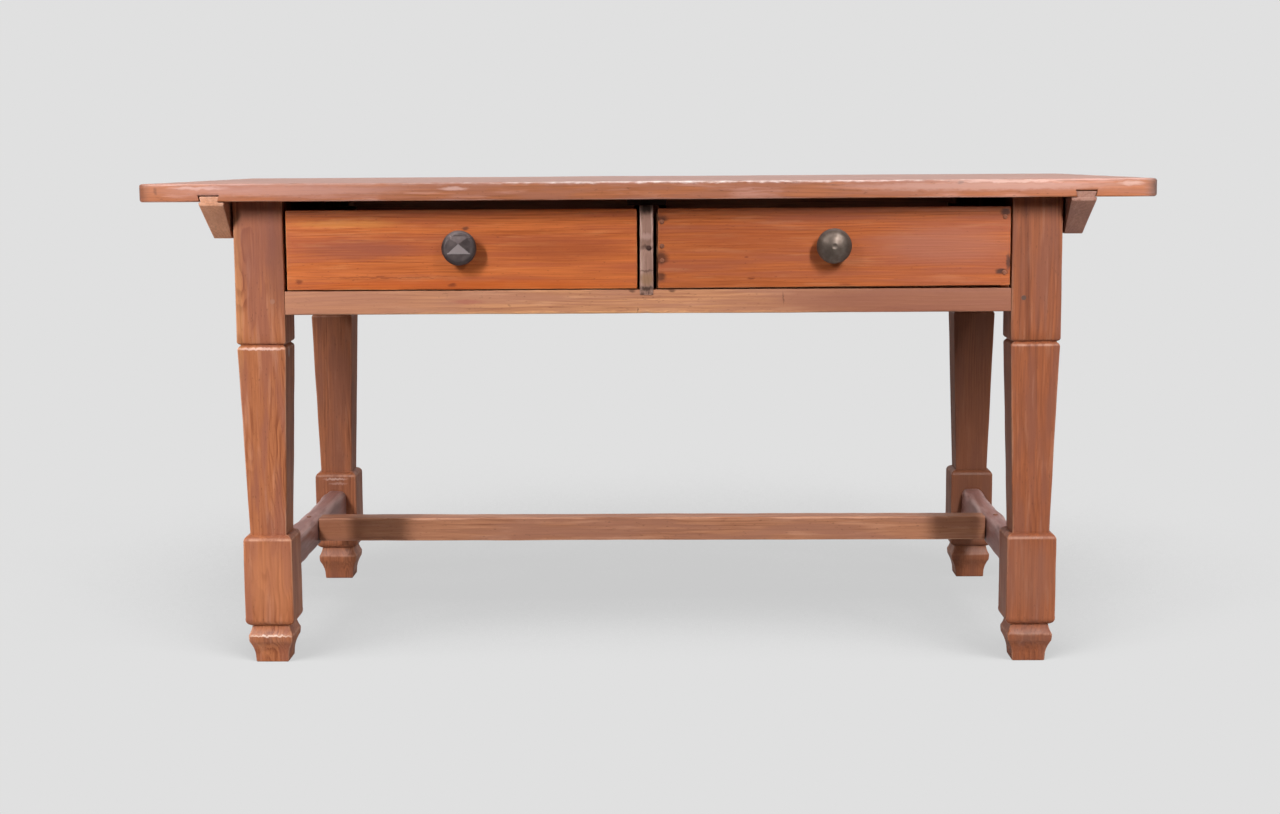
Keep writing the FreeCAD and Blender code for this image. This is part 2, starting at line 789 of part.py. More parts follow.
divider_back = front_plane + size.divider_depth
divider_nail_rise = opening_height * DIVIDER_NAIL_SHARE
divider_nail_start = (size.divider_nail_offset, front_plane - size.divider_proud,
                      rail_top + divider_nail_rise)


def drawer_divider():
    body = new_body("drawer_divider", (0, front_plane, rail_top))
    face = -size.divider_proud
    profile = [(face, -size.divider_lap, DIVIDER_BULGE_SHARE), (0, -size.divider_lap), (0, 0),
               (size.divider_depth, 0), (size.divider_depth, opening_height), (face, opening_height),
               (face, divider_nail_rise, DIVIDER_BULGE_SHARE)]
    sketch = outline(body, "side_view", "YZ_Plane", profile)
    through(body, "post", "Pad", sketch, size.divider_width)
    bore(body, "nail_hole", divider_nail_start, INTO_BACK, size.nail_diameter, size.nail_length)
    bore(body, "nail_head_seat", divider_nail_start, INTO_BACK, size.nail_head_diameter, 0, 0)


drawer_divider()
group("divider_nail", [headed_nail("post_nail", divider_nail_start, INTO_BACK)])


# Guides, kicker and stops

def side_guide(sx):
    body = new_body(f"guide_{LEFT_RIGHT[sx]}", (leg_inner_x * sx, 0, rail_top))
    block(body, "strip", (leg_inner_x * sx, (leg_inner_x + size.guide_width) * sx),
          (-leg_inner_y, leg_inner_y), (rail_top, rail_top + size.guide_height))


def centre_guide():
    body = new_body("guide_centre", (0, divider_back, rail_top))
    block(body, "strip", (-divider_side, divider_side), (divider_back, apron_inner_y),
          (rail_top, kicker_bottom - size.centre_guide_drop))
    bore(body, "nail_hole", divider_nail_start, INTO_BACK, size.nail_diameter, size.nail_length)


def kicker():
    side = size.kicker_width / 2
    start = front_plane + size.kicker_setback
    body = new_body("kicker", (0, start, kicker_bottom))
    block(body, "strip", (-side, side), (start, apron_inner_y + size.kicker_seat), (kicker_bottom, underside))


for sx in LEFT_RIGHT:
    side_guide(sx)
centre_guide()
kicker()


def drawer_side_faces(sx, edge):
    """Outer and inner face of one side board of the left or right drawer."""
    outer = drawer_centre * sx + drawer_width / 2 * edge
    return outer, outer - size.drawer_side_thickness * edge


def drawer_stop(sx, edge):
    outer, inner = drawer_side_faces(sx, edge)
    start = drawer_end + size.stop_gap
    stop = doc.addObject("Part::Box", "drawer_stop")
    place(stop, (outer if edge < 0 else inner, start, rail_top))
    for prop, length in (("Length", size.drawer_side_thickness), ("Width", size.stop_length),
                         ("Height", size.stop_height)):
        bind(stop, prop, length)
    return stop


group("drawer_stops", [drawer_stop(sx, edge) for sx in LEFT_RIGHT for edge in LEFT_RIGHT])


# Drawers: the front's ends are rebated over the sides, and the bottom slides into grooves

front_low = rail_top + size.drawer_rail_gap
front_high = kicker_bottom - size.drawer_head_gap
front_back = drawer_face + size.drawer_front_thickness
lip_back = drawer_face + size.drawer_lip
side_low = rail_top + size.drawer_runner_gap
side_high = front_high - size.drawer_side_drop
back_rear = drawer_end - size.drawer_back_inset
back_front = back_rear - size.drawer_back_thickness
bottom_low = side_low + size.drawer_bottom_rise
bottom_high = bottom_low + size.drawer_bottom_thickness
knob_z = front_low + (front_high - front_low) * KNOB_HEIGHT_SHARE


def bottom_groove(body, name, x, y):
    """A groove for the drawer's bottom board in one of the boards round it."""
    gap = size.joint_clearance
    cut_block(body, name, x, y, (bottom_low - gap, bottom_high + gap))


def side_brad_starts(sx, edge):
    """Brads through one side board, into the front and into the back."""
    outer, _ = drawer_side_faces(sx, edge)
    depths = ((lip_back + front_back) / 2, (back_front + back_rear) / 2)
    heights = [side_low + (side_high - side_low) * share for share in BRAD_SHARES]
    return [(outer, depth, height) for depth in depths for height in heights]


def bottom_brad_starts(sx):
    half = drawer_width / 2 - size.drawer_side_thickness
    return [(drawer_centre * sx + half * share, (back_front + back_rear) / 2, bottom_low)
            for share in BOTTOM_BRAD_SHARES]


def front_nail_starts(sx):
    """Nails through the ends of the right drawer's front, where it was repaired."""
    if sx < 0:
        return []
    return [(drawer_centre * sx + (drawer_width / 2 - size.nail_edge_inset) * edge, drawer_face,
             front_low + (front_high - front_low) * share)
            for edge, shares in FRONT_NAIL_SHARES.items() for share in shares]


def drawer_front(sx, prefix):
    centre = drawer_centre * sx
    half = drawer_width / 2
    body = new_body(f"{prefix}_front", (centre, drawer_face, front_low))
    block(body, "board", (centre - half, centre + half), (drawer_face, front_back), (front_low, front_high))
    for edge in LEFT_RIGHT:
        outer, inner = drawer_side_faces(sx, edge)
        cut_block(body, "rebate", (outer + size.overrun * edge, inner), (lip_back, front_back + size.overrun),
                  (front_low - size.overrun, front_high + size.overrun))
    reach = half - size.drawer_side_thickness + size.overrun
    bottom_groove(body, "bottom_groove", (centre - reach, centre + reach),
                  (front_back - size.drawer_bottom_groove, front_back + size.overrun))
    bore(body, "knob_hole", (centre, drawer_face, knob_z), INTO_BACK, size.knob_stem_diameter,
         size.drawer_front_thickness)
    for edge in LEFT_RIGHT:
        for start in side_brad_starts(sx, edge)[:len(BRAD_SHARES)]:
            bore(body, "brad_hole", start, Vector(-edge, 0, 0), size.brad_diameter, size.brad_length)
    for start in front_nail_starts(sx):
        bore(body, "nail_hole", start, INTO_BACK, size.nail_diameter, size.nail_length)


def drawer_side(sx, edge, prefix):
    outer, inner = drawer_side_faces(sx, edge)
    body = new_body(f"{prefix}_side_{LEFT_RIGHT[edge]}", (outer, lip_back, side_low))
    block(body, "board", (outer, inner), (lip_back, drawer_end), (side_low, side_high))
    bottom_groove(body, "bottom_groove",
                  (inner + size.drawer_bottom_groove * edge, inner - size.overrun * edge),
                  (lip_back - size.overrun, drawer_end + size.overrun))
    for start in side_brad_starts(sx, edge):
        bore(body, "brad_hole", start, Vector(-edge, 0, 0), size.brad_diameter, size.brad_length)
    for start in front_nail_starts(sx):
        if (start[0].value - drawer_centre.value * sx) * edge > 0:
            bore(body, "nail_hole", start, INTO_BACK, size.nail_diameter, size.nail_length)


def drawer_back(sx, prefix):
    sides = [drawer_side_faces(sx, edge)[1] for edge in LEFT_RIGHT]
    body = new_body(f"{prefix}_back", (drawer_centre * sx, back_front, bottom_high))
    block(body, "board", sides, (back_front, back_rear), (bottom_high, side_high - size.drawer_back_drop))
    for edge in LEFT_RIGHT:
        for start in side_brad_starts(sx, edge)[len(BRAD_SHARES):]:
            bore(body, "brad_hole", start, Vector(-edge, 0, 0), size.brad_diameter, size.brad_length)
    for start in bottom_brad_starts(sx):
        bore(body, "bottom_brad_hole", start, UP, size.brad_diameter, size.bottom_brad_length)


def drawer_bottom(sx, prefix):
    reach = size.drawer_bottom_groove - size.joint_clearance
    sides = [drawer_side_faces(sx, edge)[1] + reach * edge for edge in LEFT_RIGHT]
    body = new_body(f"{prefix}_bottom", (drawer_centre * sx, front_back, bottom_low))
    block(body, "board", sides, (front_back - reach, back_rear), (bottom_low, bottom_high))
    for start in bottom_brad_starts(sx):
        bore(body, "brad_hole", start, UP, size.brad_diameter, size.bottom_brad_length)


def knob(sx, prefix):
    """The left knob ends in a forged pyramid, the right one in a dome with a small button."""
    body = new_body(f"{prefix}_knob", (drawer_centre * sx, drawer_face, knob_z))
    stem = size.knob_stem_diameter / 2
    stem_end = size.drawer_front_thickness + size.nut_thickness + size.knob_stem_end
    face = (size.knob_face_diameter / 2, -size.knob_face_height)
    if sx < 0:
        tip = [(0, -size.knob_face_height), face]
    else:
        button = size.knob_button_diameter / 2
        dome = size.knob_button_height - size.knob_reach
        tip = [(0, -size.knob_reach), (button, -size.knob_reach), (button, dome), (*face, DOME_BULGE_SHARE)]
    profile = tip + [
        (size.knob_diameter / 2, -size.knob_rim_height, RIM_BULGE_SHARE),
        (size.knob_neck_diameter / 2, -size.knob_neck_height, UNDERCUT_BULGE_SHARE),
        (size.knob_base_diameter / 2, -size.knob_base_height),
        (size.knob_base_diameter / 2, 0),
        (stem, 0),
        (stem, stem_end),
        (0, stem_end),
    ]
    sketch = outline(body, "half_section", "XY_Plane", profile)
    turned = body.newObject("PartDesign::Revolution", "turned_knob")
    turned.Profile = sketch
    turned.ReferenceAxis = (sketch, ["V_Axis"])
    if sx < 0:
        pyramid = body.newObject("PartDesign::AdditiveWedge", "pyramid")
        place(pyramid, (0, -size.knob_face_height, 0), Rotation(Vector(0, 0, 1), 180))
        bind(pyramid, "Ymin", 0)
        bind(pyramid, "Ymax", size.knob_reach - size.knob_face_height)
        for axis in "XZ":
            for end, sign in (("min", -1), ("max", 1)):
                bind(pyramid, f"{axis}{end}", size.knob_pyramid_width / 2 * sign)
                bind(pyramid, f"{axis}2{end}", size.knob_pyramid_tip / 2 * sign)


def knob_nut(sx, prefix):
    centre = drawer_centre * sx
    half = size.nut_width / 2
    body = new_body(f"{prefix}_knob_nut", (centre, front_back, knob_z))
    block(body, "square", (centre - half, centre + half), (front_back, front_back + size.nut_thickness),
          (knob_z - half, knob_z + half))
    bore(body, "stem_hole", (centre, front_back, knob_z), INTO_BACK, size.knob_stem_diameter,
         size.nut_thickness)


def drawer(sx):
    prefix = f"{LEFT_RIGHT[sx]}_drawer"
    drawer_front(sx, prefix)
    for edge in LEFT_RIGHT:
        drawer_side(sx, edge, prefix)
    drawer_back(sx, prefix)
    drawer_bottom(sx, prefix)
    knob(sx, prefix)
    knob_nut(sx, prefix)
    group(f"{prefix}_side_brads",
          [rod("side_brad", start, Vector(-edge, 0, 0), size.brad_diameter, size.brad_length)
           for edge in LEFT_RIGHT for start in side_brad_starts(sx, edge)])
    group(f"{prefix}_bottom_brads",
          [rod("bottom_brad", start, UP, size.brad_diameter, size.bottom_brad_length)
           for start in bottom_brad_starts(sx)])
    nails = [headed_nail("front_nail", start, INTO_BACK) for start in front_nail_starts(sx)]
    if nails:
        group(f"{prefix}_front_nails", nails)


for sx in LEFT_RIGHT:
    drawer(sx)


# Every piece has to be sound, and every cut has to have taken wood away, before anything is written

def check():
    doc.recompute()
    for item in doc.Objects:
        if "Invalid" in item.State or "Error" in item.State:
            raise RuntimeError(f"{item.Name} failed: {item.State}")
        if "Subtractive" in item.TypeId or item.TypeId == "PartDesign::Pocket":
            if not item.Shape.Volume < item.BaseFeature.Shape.Volume:
                raise RuntimeError(f"{item.Name} of {item.getParent().Label} cuts nothing")
    for piece in pieces:
        if piece.Shape.isNull() or not piece.Shape.isValid():
            raise RuntimeError(f"{piece.Label} has no sound shape")


check()
os.makedirs("parts", exist_ok=True)
for piece in pieces:
    piece.Shape.exportStep(f"parts/{piece.Label}.step")
    print(piece.Label, len(piece.Shape.Solids), round(piece.Shape.Volume))
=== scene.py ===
import math

import bmesh
import bpy
from mathutils import Matrix, Vector, noise


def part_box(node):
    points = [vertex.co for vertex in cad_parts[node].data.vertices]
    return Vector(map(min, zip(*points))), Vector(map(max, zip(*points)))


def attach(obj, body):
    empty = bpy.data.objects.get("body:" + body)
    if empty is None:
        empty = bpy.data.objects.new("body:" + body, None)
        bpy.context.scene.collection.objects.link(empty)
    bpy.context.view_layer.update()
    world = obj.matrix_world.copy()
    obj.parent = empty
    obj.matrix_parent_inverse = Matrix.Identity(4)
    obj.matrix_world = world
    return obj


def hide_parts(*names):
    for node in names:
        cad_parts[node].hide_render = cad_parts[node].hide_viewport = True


# An old kitchen table of waxed softwood: worn boards and legs, two drawers with forged iron knobs.
# Shapes are written in millimetres in the table's own frame and become metres in the meshes.
# X runs along the table, -Y is its drawer side and Z is up from the floor.

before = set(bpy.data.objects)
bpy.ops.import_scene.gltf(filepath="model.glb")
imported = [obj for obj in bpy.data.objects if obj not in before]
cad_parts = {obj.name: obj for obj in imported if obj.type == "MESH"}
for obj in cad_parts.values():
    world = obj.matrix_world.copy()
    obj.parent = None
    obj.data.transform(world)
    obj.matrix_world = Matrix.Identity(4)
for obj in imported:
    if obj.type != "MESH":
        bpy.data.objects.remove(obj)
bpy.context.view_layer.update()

MM = 0.001
AXES = "XYZ"
SIDES = {"left": -1, "right": 1}

# Faces of the table that pieces meet and marks lie on
TOP_EDGE = -410
POST_FACE = -368
LEG_FACE = -364
DRAWER_FACE = -363
RAIL_TOP = 608
LEG_INNER_X = 577
LEG_INNER_Y = 284
STRETCHER_INNER_X = 595.5

# How a timber is drawn: steps in a rounded corner, the share of a side that one corner may take, the least
# slope that counts as a corner, half the length of a sudden change of section, and the angle from which
# an edge is drawn sharp
CORNER_STEPS = 5
CORNER_ROOM = 0.45
LEAST_SLOPE = 1e-4
STEP_HALF = 0.05
SHARP_ANGLE = math.radians(38)

# How wear varies along a timber, across it and from corner to corner. An arris stays rounder than the dents
# are deep, so that they never cut through it.
SWELL_GAIN = 1.4
ROUND_LENGTH = 55
ROUND_APART = 7.3
LEAST_ROUND = 0.55
ROUND_VARIATION = 0.9
ROUND_TO_DENT = 1.1
WAVE_LENGTH, WAVE_WIDTH = 190, 70
LUMP_LENGTH, LUMP_WIDTH = 38, 21
RIDGE_HALF = 3


# Wooden shapes

def extent(node):
    """Lowest and highest corner of a CAD piece in millimetres."""
    low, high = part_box(node)
    return low / MM, high / MM


def swell(*place):
    """Smooth seeded noise between 0 and 1."""
    return 0.5 + 0.5 * max(-1, min(1, noise.noise(Vector(place)) * SWELL_GAIN))


def level_at(outline, place):
    """What an outline's straight runs give at a place along it."""
    for (start, first), (end, second) in zip(outline, outline[1:]):
        if start <= place <= end:
            level = first + (second - first) * (place - start) / (end - start)
    return level


def round_back(radius, depth):
    """How far a quarter round lies back at a depth from the end that it rounds."""
    return radius - math.sqrt(radius ** 2 - (radius - max(0, min(radius, depth))) ** 2)


def rounded_section(corners, rounds, side_counts):
    """Points round a section with rounded corners, anticlockwise, each with its outward direction
    and its share of the arris."""
    arcs = []
    for number, (here, radius) in enumerate(zip(corners, rounds)):
        here = Vector(here)
        come = here - Vector(corners[number - 1])
        go = Vector(corners[(number + 1) % len(corners)]) - here
        turn = math.atan2(come.x * go.y - come.y * go.x, come.dot(go))
        slope = max(math.tan(abs(turn) / 2), LEAST_SLOPE)
        reach = min(radius * slope, CORNER_ROOM * min(come.length, go.length))
        radius = math.copysign(reach / slope, turn)
        come.normalize()
        left = Vector((-come.y, come.x))
        centre = here - come * reach + left * radius
        arc = []
        for step in range(CORNER_STEPS + 1):
            out = -left
            out.rotate(Matrix.Rotation(turn * step / CORNER_STEPS, 2))
            arc.append((centre + out * radius, out, math.sin(math.pi * step / CORNER_STEPS)))
        arcs.append(arc)
    points = []
    for arc, following, count in zip(arcs, arcs[1:] + arcs[:1], side_counts):
        points += arc
        start, out, _ = arc[-1]
        end = following[0][0]
        for step in range(1, count):
            points.append((start.lerp(end, step / count), out, 0))
    return points


def shrunk(corners, depth):
    """Corners of a section whose sides all lie deeper by the same depth."""
    moved = []
    for number, here in enumerate(corners):
        here = Vector(here)
        come = (here - Vector(corners[number - 1])).normalized()
        go = (Vector(corners[(number + 1) % len(corners)]) - here).normalized()
        outs = Vector((come.y + go.y, -come.x - go.x))
        moved.append(here - outs * depth / (1 + come.dot(go)))
    return moved


def stations(start, end, gap, end_rounds, breaks):
    """Places along a timber: close together in its rounded ends and at its breaks."""
    places = {start, end, *(place for place in breaks if start < place < end)}
    for step in range(1, CORNER_STEPS + 1):
        share = 1 - math.cos(math.pi / 2 * step / CORNER_STEPS)
        places.add(start + end_rounds[0] * share)
        places.add(end - end_rounds[1] * share)
    steps = round((end - start) / gap)
    for step in range(1, steps):
        place = start + (end - start) * step / steps
        if min(abs(place - other) for other in places) > gap / 4:
            places.add(place)
    return sorted(places)


def skin(name, rings, arris):
    """A closed mesh over rings of equally many points, with the share of arris on each point."""
    count = len(rings[0])
    faces = [tuple(range(count)), tuple(range(len(rings) * count - count, len(rings) * count))]
    for row in range(len(rings) - 1):
        for number in range(count):
            following = (number + 1) % count
            faces.append((row * count + number, row * count + following,
                          (row + 1) * count + following, (row + 1) * count + number))
    mesh = bpy.data.meshes.new(name)
    mesh.from_pydata([Vector(point) * MM for ring in rings for point in ring], [], faces)
    shares = mesh.attributes.new("arris", "FLOAT", "POINT")
    shares.data.foreach_set("value", arris)
    shape = bmesh.new()
    shape.from_mesh(mesh)
    bmesh.ops.recalc_face_normals(shape, faces=shape.faces)
    shape.to_mesh(mesh)
    shape.free()
    mesh.shade_smooth()
    mesh.set_sharp_from_angle(angle=SHARP_ANGLE)
    for cap in mesh.polygons[:2]:
        cap.use_smooth = False
    piece = bpy.data.objects.new(name, mesh)
    bpy.context.scene.collection.objects.link(piece)
    return piece


def timber(name, along, span, section, rounds, end_rounds=(2, 2), gap=12, side_gap=12, wave=0.6, lump=0.3,
           breaks=(), ridges=(), chips=(), bend=None, seed=0):
    """A worn timber along one axis. section gives its corners at a place along that axis, on the other
    two axes. wave and lump are the depths of its long and short unevenness, always inward.
    A break is a place where its section changes, and a ridge one where an edge runs round it, painted
    pale as rubbed wear and as a painted highlight.
    A chip is a corner's number, its place, its half length and how much rounder the arris is there.
    bend moves the finished points."""
    axis = AXES.index(along)
    start, end = span
    middle = section((start + end) / 2)
    side_counts = []
    for number, corner in enumerate(middle):
        side = Vector(middle[(number + 1) % len(middle)]) - Vector(corner)
        side_counts.append(max(1, round(side.length / side_gap)))
    least_radius = ROUND_TO_DENT * (wave + lump)
    rings = []
    arris = []
    breaks = [*breaks, *(ridge + side * RIDGE_HALF for ridge in ridges for side in (-1, 0, 1))]
    for place in stations(start, end, gap, end_rounds, breaks):
        worn = []
        for number, radius in enumerate(rounds):
            variation = ROUND_VARIATION * swell(place / ROUND_LENGTH, number * ROUND_APART, seed)
            worn.append(radius * (LEAST_ROUND + variation))
            for corner, chip_middle, half, extra in chips:
                if corner == number:
                    worn[-1] += extra * max(0, 1 - ((place - chip_middle) / half) ** 2)
        inset = 0
        end_share = 0
        for radius, depth in zip(end_rounds, (place - start, end - place)):
            if depth < radius:
                inset = round_back(radius, depth)
                end_share = math.sin(math.pi * inset / radius)
        end_share = max([end_share, *(1 - abs(place - ridge) / RIDGE_HALF for ridge in ridges)])
        worn = [max(radius - inset, least_radius) for radius in worn]
        ring = []
        for point, out, share in rounded_section(shrunk(section(place), inset), worn, side_counts):
            u, v = point
            dent = wave * swell(place / WAVE_LENGTH, u / WAVE_WIDTH, v / WAVE_WIDTH + seed)
            dent += lump * swell(place / LUMP_LENGTH, u / LUMP_WIDTH, v / LUMP_WIDTH - seed)
            spot = list(point - out * dent)
            spot.insert(axis, place)
            ring.append(bend(spot) if bend else spot)
            arris.append(max(share, end_share))
        rings.append(ring)
    return skin(name, rings, arris)


def oblong(low, high, along):
    """Corners of a straight timber's section from its box."""
    first, second = (axis for axis in range(3) if axis != AXES.index(along))
    corners = [(low[first], low[second]), (high[first], low[second]),
               (high[first], high[second]), (low[first], high[second])]
    return lambda place: corners


def show(piece, node, body, material):
    """Put a finished piece in the place of its CAD node."""
    piece.data.materials.append(material)
    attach(piece, body)
    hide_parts(node)


def plank(node, along, body, material, slot, radius=1.5, **wear):
    """A plain board in the place of a box-shaped CAD piece."""
    low, high = extent(node)
    axis = AXES.index(along)
    piece = timber(f"{node}_board", along, (low[axis], high[axis]), oblong(low, high, along), [radius] * 4,
                   end_rounds=(radius, radius), **wear)
    show(piece, node, body, material)


# Materials

IRON_STAIN = "#33221f"
KNOT = "#6e3019"
CRACK = "#3d2217"

# Lengths of the wood's patterns along and across the grain, and their detail. Real fibres are about five
# times finer than these, too fine for a pixel.
GRAIN_PATTERNS = {
    "uneven_years": (300, 24, 2),
    "year_strength": (380, 32, 2),
    "streaks": (150, 3.2, 4),
    "fibres": (55, 1.5, 4),
    "scuffs": (90, 9, 5),
    "flecks": (8, 2.4, 2),
    "frayed_edges": (14, 5, 3),
}
SWIRL_DETAIL = 2
CLOUD_DETAIL = 5
YEAR_WANDER = 2.4
TRUNK_TAPER = 0.03
STREAK_SHARE = 0.32
FIBRE_SHARE = 0.4
CLOUD_SHARE = 0.75
FLECK_SHARE = 0.35
MARK_FRAY = 8
MARK_DEPTH = 12

# Sockets 0 to 4 of a Map Range are the value, the ends of its range, and what they become (at first 0 and 1).
# A Mix has these sockets for its two colours.
SMOOTH = {"interpolation_type": "SMOOTHSTEP"}
COLOUR_MIX = {"data_type": "RGBA"}
MIX_A, MIX_B = 6, 7


def linear(colour):
    """A hex colour as the renderer's linear red, green, blue and alpha."""
    shades = [int(colour[start:start + 2], 16) / 255 for start in (1, 3, 5)]
    return [shade / 12.92 if shade < 0.04045 else ((shade + 0.055) / 1.055) ** 2.4 for shade in shades] + [1]


def add(tree, kind, settings=None, links=None):
    """Add a shader node. links give its sockets a node, whose first socket in use is taken, or a socket,
    or a plain value."""
    node = tree.nodes.new(f"ShaderNode{kind}")
    for name, value in (settings or {}).items():
        setattr(node, name, value)
    for name, source in (links or {}).items():
        if isinstance(source, bpy.types.Node):
            source = next(socket for socket in source.outputs if socket.enabled)
        if isinstance(source, bpy.types.NodeSocket):
            tree.links.new(source, node.inputs[name])
        else:
            node.inputs[name].default_value = source
    return node


def new_tree(name):
    """A new material and its empty node tree."""
    material = bpy.data.materials.new(name)
    material.use_nodes = True
    material.node_tree.nodes.clear()
    return material, material.node_tree


def softwood(name, along, early, late, cloudy, worn, pith, ring=5, contrast=0.25, wander=9, swirl=(420, 90),
             cloud=(220, 40), rub=0.2, arris=0.6, roughness=0.48, specular=0.25, relief=0.3, marks=()):
    """Sawn softwood: pale early and dark late wood in growth rings round a pith, drawn out along the
    grain, with streaks, fibres, cloudy old wax, scuffs, rubbed arrises, which on a leg's ridges also stand
    for painted highlights, and flecks of dirt. A mark is a place, its half sizes, a colour and its strength;
    marks also paint shade and highlights. Lengths are in millimetres."""
    material, tree = new_tree(name)
    place = add(tree, "VectorMath", {"operation": "SCALE"},
                {0: add(tree, "TexCoord").outputs["Object"], "Scale": 1 / MM})
    parts = add(tree, "SeparateXYZ", None, {0: place})
    grain_axes = along + AXES.replace(along, "")
    grain = add(tree, "CombineXYZ", None,
                {number: parts.outputs[axis] for number, axis in enumerate(grain_axes)})

    patterns = {}
    lengths = {**GRAIN_PATTERNS, "swirl": (*swirl, SWIRL_DETAIL), "clouds": (*cloud, CLOUD_DETAIL)}
    for use, (long, across, detail) in lengths.items():
        stretched = add(tree, "VectorMath", {"operation": "DIVIDE"}, {0: grain, 1: (long, across, across)})
        patterns[use] = add(tree, "TexNoise", None, {"Vector": stretched, "Scale": 1, "Detail": detail})

    # Growth rings: each year darkens slowly and ends sharply
    drift = add(tree, "VectorMath", {"operation": "MULTIPLY_ADD"},
                {0: patterns["swirl"].outputs["Color"], 1: (0, wander * 2, wander * 2), 2: grain})
    from_pith = add(tree, "VectorMath", {"operation": "SUBTRACT"},
                    {0: drift, 1: (0, pith[0] + wander, pith[1] + wander)})
    tapered = add(tree, "VectorMath", {"operation": "MULTIPLY"}, {0: from_pith, 1: (TRUNK_TAPER, 1, 1)})
    radius = add(tree, "VectorMath", {"operation": "LENGTH"}, {0: tapered})
    uneven = add(tree, "Math", {"operation": "MULTIPLY"}, {0: patterns["uneven_years"], 1: YEAR_WANDER})
    phase = add(tree, "Math", {"operation": "MULTIPLY_ADD"}, {0: radius, 1: 1 / ring, 2: uneven})
    year = add(tree, "Math", {"operation": "FRACT"}, {0: phase})
    darkening = add(tree, "MapRange", SMOOTH, {0: year, 1: 0.25, 2: 0.85})
    year_end = add(tree, "MapRange", SMOOTH, {0: year, 1: 0.86, 2: 1, 3: 1, 4: 0})
    late_wood = add(tree, "Math", {"operation": "MULTIPLY"}, {0: darkening, 1: year_end})
    strength = add(tree, "MapRange", SMOOTH, {0: patterns["year_strength"], 1: 0.36, 2: 0.64,
                                              3: contrast * 0.2, 4: contrast * 1.8})
    dark = add(tree, "Math", {"operation": "MULTIPLY"}, {0: late_wood, 1: strength})

    # How much each pattern covers, from the levels between which it sets in
    covers = {}
    for use, low, high, most in (("streaks", 0.36, 0.7, STREAK_SHARE), ("fibres", 0.38, 0.74, FIBRE_SHARE),
                                 ("clouds", 0.42, 0.62, CLOUD_SHARE), ("scuffs", 0.54, 0.72, rub),
                                 ("flecks", 0.64, 0.74, FLECK_SHARE)):
        covers[use] = add(tree, "MapRange", SMOOTH, {0: patterns[use], 1: low, 2: high, 4: most})
    for use in ("streaks", "fibres"):
        dark = add(tree, "Math", {"operation": "ADD", "use_clamp": True}, {0: dark, 1: covers[use]})
    # Arrises take the worn colour; on a leg's ridges this is also a painted highlight
    edge = add(tree, "Attribute", {"attribute_name": "arris"}).outputs["Fac"]
    edge_scuffs = add(tree, "MapRange", SMOOTH, {0: patterns["scuffs"], 1: 0.34, 2: 0.6, 4: arris})
    rubbed_and_highlit_edge = add(tree, "Math", {"operation": "MULTIPLY"}, {0: edge, 1: edge_scuffs})
    coats = [(dark, late), (covers["clouds"], cloudy), (covers["scuffs"], worn), (rubbed_and_highlit_edge, worn),
             (covers["flecks"], CRACK)]
    frayed = add(tree, "VectorMath", {"operation": "MULTIPLY_ADD"},
                 {0: patterns["frayed_edges"].outputs["Color"], 1: [MARK_FRAY] * 3, 2: place})
    for centre, half_sizes, colour, amount in marks:
        away = add(tree, "VectorMath", {"operation": "SUBTRACT"},
                   {0: frayed, 1: [part + MARK_FRAY / 2 for part in centre]})
        scaled = add(tree, "VectorMath", {"operation": "DIVIDE"}, {0: away, 1: half_sizes})
        reach = add(tree, "VectorMath", {"operation": "LENGTH"}, {0: scaled})
        coats.append((add(tree, "MapRange", SMOOTH, {0: reach, 1: 0.3, 2: 1, 3: amount, 4: 0}), colour))
    tone = linear(early)
    for share, colour in coats:
        tone = add(tree, "Mix", COLOUR_MIX, {0: share, MIX_A: tone, MIX_B: linear(colour)})

    gloss = add(tree, "MapRange", None, {0: patterns["clouds"], 1: 0.3, 2: 0.7,
                                         3: roughness - 0.08, 4: roughness + 0.1})
    height = add(tree, "Math", {"operation": "MULTIPLY_ADD"}, {0: late_wood, 1: 0.4, 2: patterns["fibres"]})
    bump = add(tree, "Bump", None, {"Strength": relief, "Distance": 0.5 * MM, "Height": height})
    shader = add(tree, "BsdfPrincipled", None,
                 {"Base Color": tone, "Roughness": gloss, "Normal": bump, "IOR": 1.5,
                  "Specular IOR Level": specular})
    add(tree, "OutputMaterial", None, {"Surface": shader})
    return material


HAMMER_MARK = 12
PIT = 2.5


def forged_iron(name, dark, pale, rust, bright, roughness=0.36, metallic=0.8):
    """Old forged iron: dark faces with paler hammer marks, a little rust in the pits, and painted bright
    where a knob's mesh carries a painted highlight or reflection."""
    material, tree = new_tree(name)
    place = add(tree, "VectorMath", {"operation": "SCALE"},
                {0: add(tree, "TexCoord").outputs["Object"], "Scale": 1 / MM})
    hammer = add(tree, "TexNoise", None, {"Vector": place, "Scale": 1 / HAMMER_MARK, "Detail": 1})
    pits = add(tree, "TexNoise", None, {"Vector": place, "Scale": 1 / PIT, "Detail": 4})
    patches = add(tree, "MapRange", SMOOTH, {0: hammer, 1: 0.35, 2: 0.7})
    rusty = add(tree, "MapRange", SMOOTH, {0: pits, 1: 0.55, 2: 0.78, 4: 0.4})
    edge = add(tree, "Attribute", {"attribute_name": "arris"}).outputs["Fac"]
    tone = linear(dark)
    for share, colour in ((patches, pale), (rusty, rust), (edge, bright)):
        tone = add(tree, "Mix", COLOUR_MIX, {0: share, MIX_A: tone, MIX_B: linear(colour)})
    gloss = add(tree, "MapRange", None, {0: pits, 1: 0.3, 2: 0.7, 3: roughness - 0.06, 4: roughness + 0.1})
    relief = add(tree, "Math", {"operation": "MULTIPLY_ADD"}, {0: hammer, 1: 2, 2: pits})
    bump = add(tree, "Bump", None, {"Strength": 0.3, "Distance": 0.3 * MM, "Height": relief})
    shader = add(tree, "BsdfPrincipled", None,
                 {"Base Color": tone, "Roughness": gloss, "Normal": bump, "Metallic": metallic})
    add(tree, "OutputMaterial", None, {"Surface": shader})
    return material


